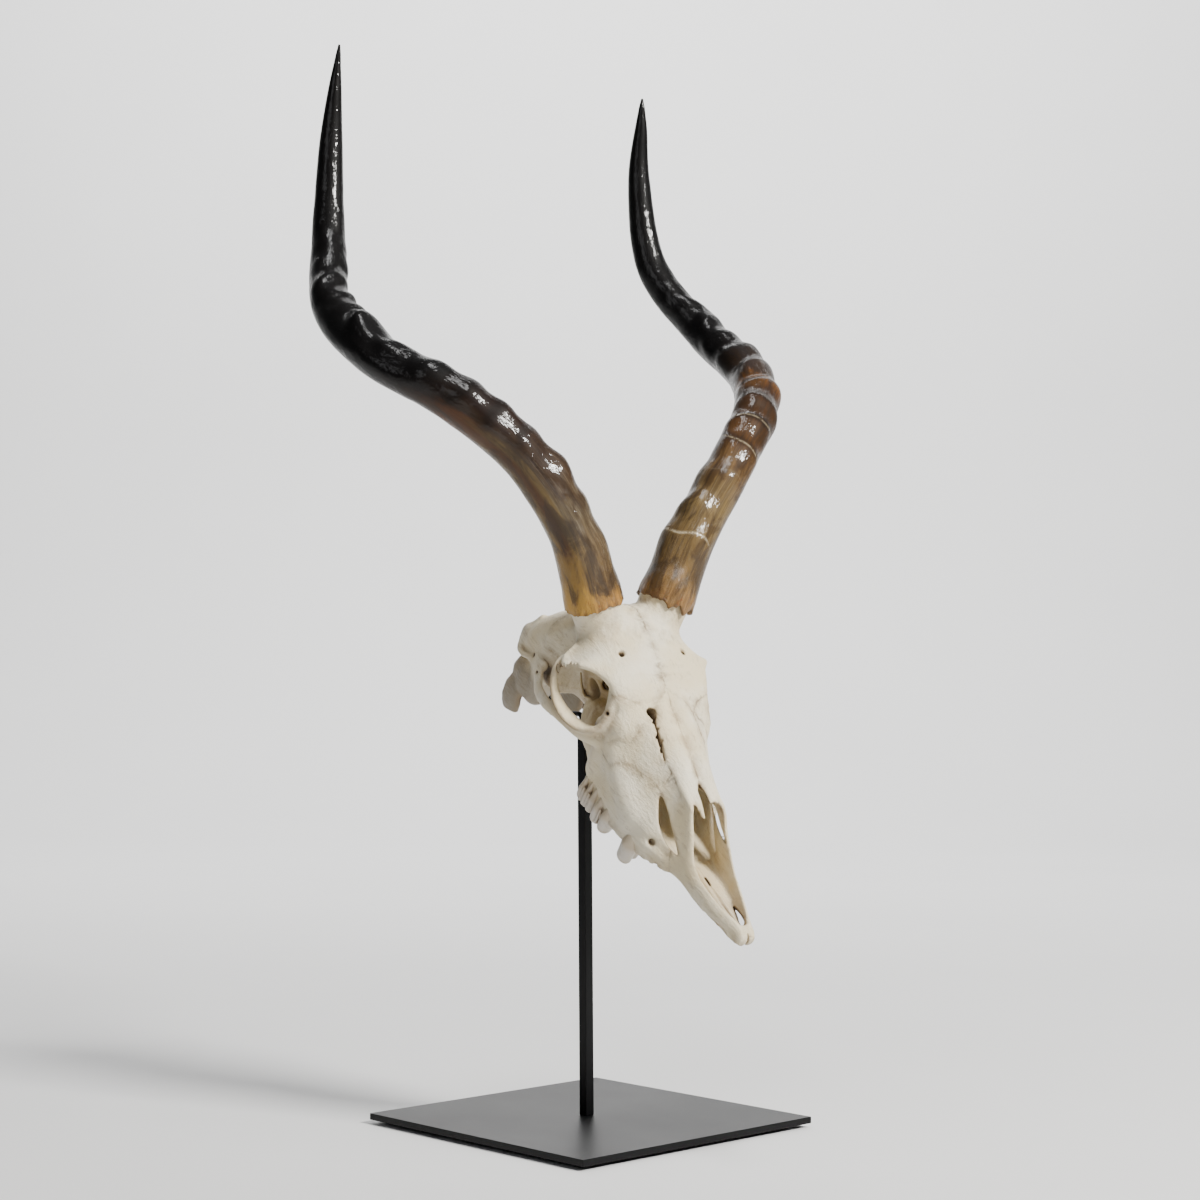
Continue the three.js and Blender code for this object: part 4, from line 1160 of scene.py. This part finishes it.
def make_horn(side, name, material):
    distance, centre, radius, along, ahead, across = horn_course(side)
    rng = np.random.default_rng(11 if side < 0 else 12)
    angle = np.arange(HORN_SIDES) / HORN_SIDES * 2 * math.pi
    far, turn = np.meshgrid(distance, angle, indexing="ij")
    swell, crest, crack = horn_rings(far, turn, side, rng)
    thick = radius[:, None] * np.ones_like(turn)
    round_place = np.stack([np.cos(turn) * thick, np.sin(turn) * thick, far], axis=2).reshape(-1, 3)
    height = horn_height(side, far, turn, round_place, swell, crack)
    reach = np.maximum(thick + height * np.minimum(1, thick / 8), 0.02)
    base = centre[:, None] + ahead[:, None] * (np.cos(turn) * reach)[..., None]
    base = base + across[:, None] * (np.sin(turn) * reach)[..., None]
    edge = rim_edge(side, angle)
    base += along[:, None] * (smoothstep(12, 0, far) * edge[None])[..., None]

    # an inward lip that meets the horn core, from its inner end
    lip = []
    for share, deep in RIM_LIP_RINGS:
        inner = (reach[0] - RIM_LIP * share)[:, None]
        ring = centre[0] + ahead[0] * np.cos(angle)[:, None] * inner
        ring = ring + across[0] * np.sin(angle)[:, None] * inner
        lip.append(ring + along[0] * (edge + deep)[:, None])
    grid = np.concatenate([lip, base])
    obj = tube(name, grid, [grid[0].mean(0), grid[-1].mean(0)])
    shade_smooth(obj.data)

    def spread(values, end=0.0):
        """Values for the lip's rings, the horn's grid and the two end points."""
        return np.concatenate([np.zeros(len(lip) * HORN_SIDES), np.ravel(values), [0.0, end]])

    set_mask(obj, "along", spread(far, distance[-1]))
    set_mask(obj, "crest", spread(crest))
    set_mask(obj, "crack", spread(crack))
    set_mask(obj, "front", spread(np.cos(turn)))
    set_mask(obj, "flank", spread(np.sin(turn) * side))
    set_grain(obj, np.stack([spread(values) for values in round_place.T], axis=1))
    obj.data.materials.append(material)
    place_skull_piece(obj, [name.replace("sheath", "horn")])


# ---------------------------------------------------------------- stand

def bevelled_box(name, sides, low, bevel, node, material, lean=(0, 0), foot=(0, 0)):
    mesh = bpy.data.meshes.new(name)
    edit = bmesh.new()
    bmesh.ops.create_cube(edit, size=1)
    for vert in edit.verts:
        vert.co.x = (vert.co.x * sides[0]) * MM
        vert.co.y = (vert.co.y * sides[1]) * MM
        vert.co.z = ((vert.co.z + 0.5) * sides[2] + low) * MM
    bmesh.ops.bevel(edit, geom=edit.edges[:], offset=bevel * MM, segments=3, profile=0.5, affect="EDGES")
    for vert in edit.verts:
        share = (vert.co.z / MM - low) / sides[2]
        vert.co.x += (foot[0] + lean[0] * share) * MM
        vert.co.y += (foot[1] + lean[1] * share) * MM
    edit.to_mesh(mesh)
    edit.free()
    obj = bpy.data.objects.new(name, mesh)
    bpy.context.scene.collection.objects.link(obj)
    shade_smooth(mesh)
    modifier = obj.modifiers.new("normals", "WEIGHTED_NORMAL")
    modifier.keep_sharp = True
    mesh.materials.append(material)
    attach(obj, "root")
    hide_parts(node)
    return obj


def make_stand(steel, felt):
    pad_side = PLATE_SIDE - 2 * PAD_INSET
    pad = bevelled_box("felt_underlay", (pad_side, pad_side, PAD_THICK), 0, 0.6, "felt_pad", felt)
    plate = bevelled_box(
        "steel_plate", (PLATE_SIDE, PLATE_SIDE, PLATE_THICK), PAD_THICK, 0.35, "base_plate", steel)
    post = bevelled_box(
        "steel_post", (BAR_WIDTH, BAR_WIDTH, POST_TOP - PLATE_TOP), PLATE_TOP, 0.45, "post", steel,
        POST_LEAN, POST_FOOT)
    line = rod_line()
    along = unit_rows(np.gradient(line, axis=0))
    side = unit_rows(np.cross(along, (1.0, 0.05, 0.0)))
    turn = np.arange(ROD_SIDES)[:, None] / ROD_SIDES * 2 * math.pi
    circles = side[:, None] * np.cos(turn) + np.cross(along, side)[:, None] * np.sin(turn)
    rod = tube("steel_rod", (line[:, None] + ROD_RADIUS * circles) * MM, line[[0, -1]] * MM)
    rod.data.materials.append(steel)
    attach(rod, "root")
    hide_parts("support_rod")


# ---------------------------------------------------------------- materials

class Paint:
    """A short way to write a node material."""

    def __init__(self, name):
        self.material = bpy.data.materials.new(name)
        self.material.use_nodes = True
        self.tree = self.material.node_tree
        self.tree.nodes.clear()
        self.output = self.tree.nodes.new("ShaderNodeOutputMaterial")
        self.shader = self.tree.nodes.new("ShaderNodeBsdfPrincipled")
        self.link(self.shader.outputs[0], self.output.inputs["Surface"])

    def link(self, start, end):
        self.tree.links.new(start, end)

    def feed(self, socket, value):
        if isinstance(value, bpy.types.NodeSocket):
            self.link(value, socket)
        elif isinstance(value, tuple) and len(value) == 3 and socket.type == "RGBA":
            socket.default_value = (*value, 1)
        else:
            socket.default_value = value

    def set(self, **values):
        for key, value in values.items():
            self.feed(self.shader.inputs[key.replace("_", " ")], value)

    def mask(self, name, vector=False):
        node = self.tree.nodes.new("ShaderNodeAttribute")
        node.attribute_name = name
        return node.outputs["Vector" if vector else "Fac"]

    def place(self):
        return self.tree.nodes.new("ShaderNodeTexCoord").outputs["Object"]

    def stretch(self, vector, scale):
        node = self.tree.nodes.new("ShaderNodeMapping")
        self.link(vector, node.inputs["Vector"])
        node.inputs["Scale"].default_value = scale
        return node.outputs[0]

    def noise(self, vector, scale, detail=4.0, rough=0.55, twist=0.0):
        node = self.tree.nodes.new("ShaderNodeTexNoise")
        self.link(vector, node.inputs["Vector"])
        node.inputs["Scale"].default_value = scale
        node.inputs["Detail"].default_value = detail
        node.inputs["Roughness"].default_value = rough
        node.inputs["Distortion"].default_value = twist
        return node.outputs["Fac"]

    def math(self, operation, a, b):
        node = self.tree.nodes.new("ShaderNodeMath")
        node.operation = operation
        self.feed(node.inputs[0], a)
        self.feed(node.inputs[1], b)
        return node.outputs[0]

    def times(self, a, b):
        return self.math("MULTIPLY", a, b)

    def plus(self, a, b):
        return self.math("ADD", a, b)

    def ramp(self, value, low, high):
        """0 below low and 1 above high, with a smooth rise."""
        node = self.tree.nodes.new("ShaderNodeMapRange")
        node.interpolation_type = "SMOOTHSTEP"
        self.feed(node.inputs["Value"], value)
        flip = low > high
        node.inputs["From Min"].default_value = min(low, high)
        node.inputs["From Max"].default_value = max(low, high)
        node.inputs["To Min"].default_value = 1.0 if flip else 0.0
        node.inputs["To Max"].default_value = 0.0 if flip else 1.0
        return node.outputs[0]

    def mix(self, share, a, b):
        node = self.tree.nodes.new("ShaderNodeMix")
        node.data_type = "RGBA"
        self.feed(node.inputs[0], share)
        self.feed(node.inputs[6], a)
        self.feed(node.inputs[7], b)
        return node.outputs[2]

    def bump(self, height, distance, strength=1.0, after=None):
        node = self.tree.nodes.new("ShaderNodeBump")
        node.inputs["Strength"].default_value = strength
        node.inputs["Distance"].default_value = distance
        self.link(height, node.inputs["Height"])
        if after is not None:
            self.link(after, node.inputs["Normal"])
        return node.outputs[0]


def bone_material():
    paint = Paint("bone")
    place = paint.place()
    grain = paint.mask("grain", vector=True)
    clouds = paint.noise(place, 24, 5, 0.6)
    blotch = paint.noise(place, 80, 5, 0.65, 0.4)
    fine = paint.noise(place, 900, 3, 0.6)
    pores = paint.noise(place, 420, 4, 0.7)
    streaks = paint.noise(paint.stretch(grain, (0.13, 1, 1)), 0.55, 6, 0.7, 0.3)
    color = paint.mix(paint.ramp(clouds, 0.38, 0.62), (0.765, 0.70, 0.545), (0.70, 0.595, 0.39))
    # warm tan: the bone's own tone, and partly painted shade inside the eye socket and beside the braincase
    warm_tone_and_shade = paint.times(paint.mask("warm_tone_and_shade"), paint.ramp(blotch, 0.25, 0.7))
    color = paint.mix(warm_tone_and_shade, color, (0.44, 0.325, 0.155))
    lines = paint.times(paint.ramp(streaks, 0.5, 0.64), paint.ramp(blotch, 0.42, 0.58))
    color = paint.mix(paint.times(lines, 0.42), color, (0.33, 0.24, 0.14))
    stain = paint.times(paint.mask("suture_stain"), paint.ramp(blotch, 0.42, 0.6))
    color = paint.mix(paint.times(stain, 0.6), color, (0.33, 0.24, 0.14))
    soil = paint.times(paint.mask("rough"), paint.ramp(blotch, 0.4, 0.58))
    color = paint.mix(paint.times(soil, 0.55), color, (0.31, 0.24, 0.16))
    # grey-brown at the back: partly the bone's own tone and partly painted shade
    color = paint.mix(paint.times(paint.mask("grey"), 0.85), color, (0.23, 0.185, 0.13))
    hollow = paint.mask("hollow")
    # painted shade: brown in the hollows, near black in the deepest ones
    color = paint.mix(paint.times(hollow, 0.75), color, (0.30, 0.195, 0.095))
    color = paint.mix(paint.times(paint.ramp(hollow, 0.66, 1.0), 0.75), color, (0.06, 0.032, 0.014))
    seam = paint.times(paint.mask("suture"), paint.ramp(pores, 0.3, 0.6))
    color = paint.mix(paint.times(seam, 0.75), color, (0.13, 0.08, 0.042))
    specks = paint.times(paint.ramp(pores, 0.64, 0.76), paint.ramp(blotch, 0.45, 0.7))
    color = paint.mix(paint.times(specks, 0.5), color, (0.18, 0.115, 0.06))
    gloss = paint.plus(paint.times(clouds, 0.24), 0.30)
    relief = paint.bump(fine, 0.0002, 0.6)
    relief = paint.bump(pores, 0.0004, 0.5, relief)
    relief = paint.bump(streaks, 0.0017, 0.6, relief)
    relief = paint.bump(blotch, 0.0014, 0.5, relief)
    paint.set(Base_Color=color, Roughness=gloss, Normal=relief)
    paint.set(IOR=1.5, Specular_IOR_Level=0.45, Subsurface_Weight=0.03, Subsurface_Scale=0.0015)
    paint.shader.inputs["Subsurface Radius"].default_value = (1.0, 0.6, 0.35)
    return paint.material


def enamel_material():
    paint = Paint("enamel")
    place = paint.place()
    clouds = paint.noise(place, 160, 4, 0.6)
    streaks = paint.noise(paint.stretch(place, (1, 1, 0.3)), 700, 3, 0.6)
    color = paint.mix(clouds, (0.72, 0.69, 0.63), (0.60, 0.54, 0.44))
    color = paint.mix(paint.times(paint.ramp(streaks, 0.5, 0.75), 0.3), color, (0.40, 0.31, 0.2))
    color = paint.mix(paint.times(paint.mask("root"), 0.7), color, (0.58, 0.47, 0.31))
    # painted shade in the pits and creases between the cusps
    color = paint.mix(paint.times(paint.mask("pit_shade"), 0.6), color, (0.24, 0.16, 0.09))
    color = paint.mix(paint.times(paint.mask("worn"), 0.4), color, (0.45, 0.34, 0.2))
    paint.set(Base_Color=color, Roughness=paint.plus(paint.times(clouds, 0.2), 0.2))
    paint.set(Normal=paint.bump(streaks, 0.0001, 0.5), Specular_IOR_Level=0.55)
    return paint.material


# Colours of the horns at distances from the rim, on the smooth side and on the ringed side.
RIGHT_SMOOTH = (
    (0, (0.42, 0.23, 0.035)), (24, (0.22, 0.125, 0.025)), (60, (0.125, 0.078, 0.02)),
    (115, (0.095, 0.06, 0.018)), (145, (0.075, 0.024, 0.002)), (172, (0.012, 0.004, 0.002)),
)
RIGHT_RINGED = (
    (0, (0.34, 0.17, 0.035)), (16, (0.115, 0.07, 0.028)), (60, (0.085, 0.062, 0.035)),
    (82, (0.04, 0.022, 0.011)), (104, (0.012, 0.0045, 0.002)), (160, (0.008, 0.003, 0.002)),
)
LEFT_SMOOTH = (
    (0, (0.14, 0.08, 0.025)), (40, (0.10, 0.066, 0.028)), (95, (0.055, 0.032, 0.014)),
    (140, (0.025, 0.011, 0.004)), (200, (0.012, 0.008, 0.006)),
)
LEFT_RINGED = (
    (0, (0.23, 0.125, 0.04)), (30, (0.12, 0.074, 0.026)), (62, (0.145, 0.096, 0.038)),
    (92, (0.10, 0.055, 0.02)), (108, (0.06, 0.026, 0.007)), (140, (0.036, 0.016, 0.006)),
    (160, (0.03, 0.014, 0.008)), (174, (0.12, 0.042, 0.0015)), (188, (0.02, 0.012, 0.009)),
    (225, (0.012, 0.008, 0.007)),
)


def tone_run(paint, along, tones):
    """The tones one after another up the horn."""
    color = tones[0][1]
    for (start, _), (end, tone) in zip(tones[:-1], tones[1:]):
        color = paint.mix(paint.ramp(along, start, end), color, tone)
    return color


def horn_material(name, smooth_tones, ringed_tones, dark_from, dark_to, pull, grey, stripe):
    """Lacquered horn: amber at the rim, through brown to black at the tip. pull moves the dark
    towards the rim on the ringed side, grey is how strong the pale fibres are, and stripe is how
    strong the amber stripe along the outer side is."""
    paint = Paint(name)
    along, front = paint.mask("along"), paint.mask("front")
    grain = paint.mask("grain", vector=True)
    fibres = paint.noise(paint.stretch(grain, (1, 1, 0.03)), 0.42, 6, 0.68, 0.5)
    threads = paint.noise(paint.stretch(grain, (1, 1, 0.025)), 1.9, 4, 0.7)
    clouds = paint.noise(paint.stretch(grain, (1, 1, 0.4)), 0.085, 5, 0.62, 0.9)
    flecks = paint.noise(paint.stretch(grain, (1, 1, 0.45)), 0.5, 5, 0.72, 1.3)
    astray = paint.times(paint.math("SUBTRACT", clouds, 0.5), 45)
    moved = paint.plus(along, astray)
    ringed = paint.ramp(paint.plus(front, paint.times(fibres, 0.8)), 0.0, 0.75)
    color = paint.mix(ringed, tone_run(paint, moved, smooth_tones), tone_run(paint, moved, ringed_tones))
    lower = paint.times(paint.ramp(front, -0.8, -0.52), paint.ramp(front, -0.12, -0.38))
    lower = paint.times(lower, paint.ramp(paint.mask("flank"), 0.2, 0.6))
    lower = paint.times(lower, paint.ramp(moved, 22, 45))
    color = paint.mix(paint.times(lower, stripe), color, (0.055, 0.016, 0.0008))
    dull = paint.times(paint.ramp(clouds, 0.46, 0.6), 0.65)
    color = paint.mix(dull, color, (0.03, 0.016, 0.007))
    deep = paint.times(paint.ramp(fibres, 0.42, 0.6), ringed)
    color = paint.mix(paint.times(deep, 0.5), color, (0.018, 0.011, 0.007))
    pale = paint.times(paint.ramp(threads, 0.5, 0.74), ringed)
    pale = paint.times(pale, paint.ramp(clouds, 0.62, 0.4))
    pale = paint.times(pale, paint.ramp(along, 130, 70))
    color = paint.mix(paint.times(pale, grey), color, (0.20, 0.165, 0.11))
    red = paint.times(paint.ramp(along, 14, 2), paint.ramp(flecks, 0.54, 0.66))
    color = paint.mix(paint.times(red, 0.7), color, (0.15, 0.03, 0.002))
    # painted shadow: near black along each ring's crest and its fall towards the tip
    ring_step_shadow = paint.times(paint.ramp(paint.mask("crest"), 0.2, 0.9), paint.ramp(along, 75, 125))
    color = paint.mix(paint.times(ring_step_shadow, 0.7), color, (0.006, 0.0035, 0.0025))
    wander = paint.plus(moved, paint.times(front, pull))
    color = paint.mix(paint.ramp(wander, dark_from, dark_to), color, (0.0012, 0.0008, 0.0008))
    crack = paint.times(paint.mask("crack"), paint.ramp(flecks, 0.36, 0.56))
    color = paint.mix(crack, color, (0.42, 0.35, 0.23))
    rim = paint.times(paint.ramp(along, 3, 0.5), paint.ramp(fibres, 0.35, 0.65))
    color = paint.mix(paint.times(rim, 0.6), color, (0.07, 0.035, 0.015))
    relief = paint.bump(threads, 0.0003, 0.5)
    wrinkles = paint.times(flecks, paint.ramp(along, 70, 5))
    relief = paint.bump(wrinkles, 0.0014, 0.6, relief)
    paint.set(Base_Color=color, Roughness=0.5, Normal=relief, IOR=1.54, Specular_IOR_Level=0.1)
    paint.set(Coat_Weight=0.5, Coat_Roughness=0.03, Coat_IOR=1.48)
    varnish = paint.noise(paint.stretch(grain, (1, 1, 0.6)), 0.28, 3, 0.55, 0.6)
    coat = paint.bump(wrinkles, 0.0009, 0.5, paint.bump(varnish, 0.0012, 0.5))
    paint.link(coat, paint.shader.inputs["Coat Normal"])
    return paint.material


def steel_material():
    paint = Paint("black_steel")
    place = paint.place()
    grain = paint.noise(place, 1400, 3, 0.6)
    clouds = paint.noise(place, 9, 5, 0.6)
    rub = paint.noise(paint.stretch(place, (1, 1, 0.2)), 60, 5, 0.65)
    color = paint.mix(clouds, (0.0012, 0.0012, 0.0014), (0.0035, 0.0036, 0.004))
    color = paint.mix(paint.times(paint.ramp(rub, 0.62, 0.8), 0.2), color, (0.012, 0.012, 0.012))
    rough = paint.plus(paint.times(clouds, 0.12), 0.34)
    paint.set(Base_Color=color, Roughness=rough, Normal=paint.bump(grain, 0.00005, 0.5))
    paint.set(Specular_IOR_Level=0.16)
    return paint.material


def felt_material():
    paint = Paint("felt")
    place = paint.place()
    fuzz = paint.noise(place, 1800, 4, 0.7)
    color = paint.mix(fuzz, (0.006, 0.006, 0.006), (0.03, 0.03, 0.03))
    paint.set(Base_Color=color, Roughness=0.95, Normal=paint.bump(fuzz, 0.0006, 0.8), Sheen_Weight=0.4)
    return paint.material


# The backdrop, in metres: its ends along the camera's heading, its bend, height and half width.
FLOOR_NEAR = -3.2
FLOOR_FAR = 2.2
WALL_BEND = 0.8
WALL_TOP = 5.0
FLOOR_HALF = 6.0


def backdrop():
    """A pale floor that curves up into a wall behind the object."""
    paint = Paint("studio_paper")
    place = paint.place()
    color = paint.mix(paint.noise(place, 2.5, 3), (0.70, 0.70, 0.70), (0.75, 0.75, 0.75))
    paint.set(Base_Color=color, Roughness=0.75, Specular_IOR_Level=0.2)
    away = Vector((*CAMERA_WAY, 0)).normalized()
    across = Vector((away.y, -away.x, 0))
    profile = [(FLOOR_NEAR, 0.0), (FLOOR_FAR, 0.0)]
    for k in range(1, 13):
        angle = k / 12 * math.pi / 2
        profile.append((FLOOR_FAR + WALL_BEND * math.sin(angle), WALL_BEND * (1 - math.cos(angle))))
    profile.append((FLOOR_FAR + WALL_BEND, WALL_TOP))
    points, faces = [], []
    for near, up in profile:
        for reach in (-FLOOR_HALF, FLOOR_HALF):
            points.append(away * near + across * reach + Vector((0, 0, up)))
    for k in range(len(profile) - 1):
        faces.append((2 * k, 2 * k + 1, 2 * k + 3, 2 * k + 2))
    floor = mesh_object("floor", np.array([list(p) for p in points]), np.array(faces))
    floor.data.materials.append(paint.material)


# ---------------------------------------------------------------- the scene

make_camera()
make_light()
backdrop()
make_skull(bone_material())
enamel = enamel_material()
for side, word in SIDES:
    for row in TEETH:
        make_tooth(row[1:], side, enamel, f"{row[0]}_{word}")
right_horn = horn_material("horn_right", RIGHT_SMOOTH, RIGHT_RINGED, 135, 195, 22, 0.7, 0.85)
left_horn = horn_material("horn_left", LEFT_SMOOTH, LEFT_RINGED, 195, 240, -10, 0.4, 0.0)
make_horn(-1, "sheath_right", right_horn)
make_horn(1, "sheath_left", left_horn)
make_stand(steel_material(), felt_material())
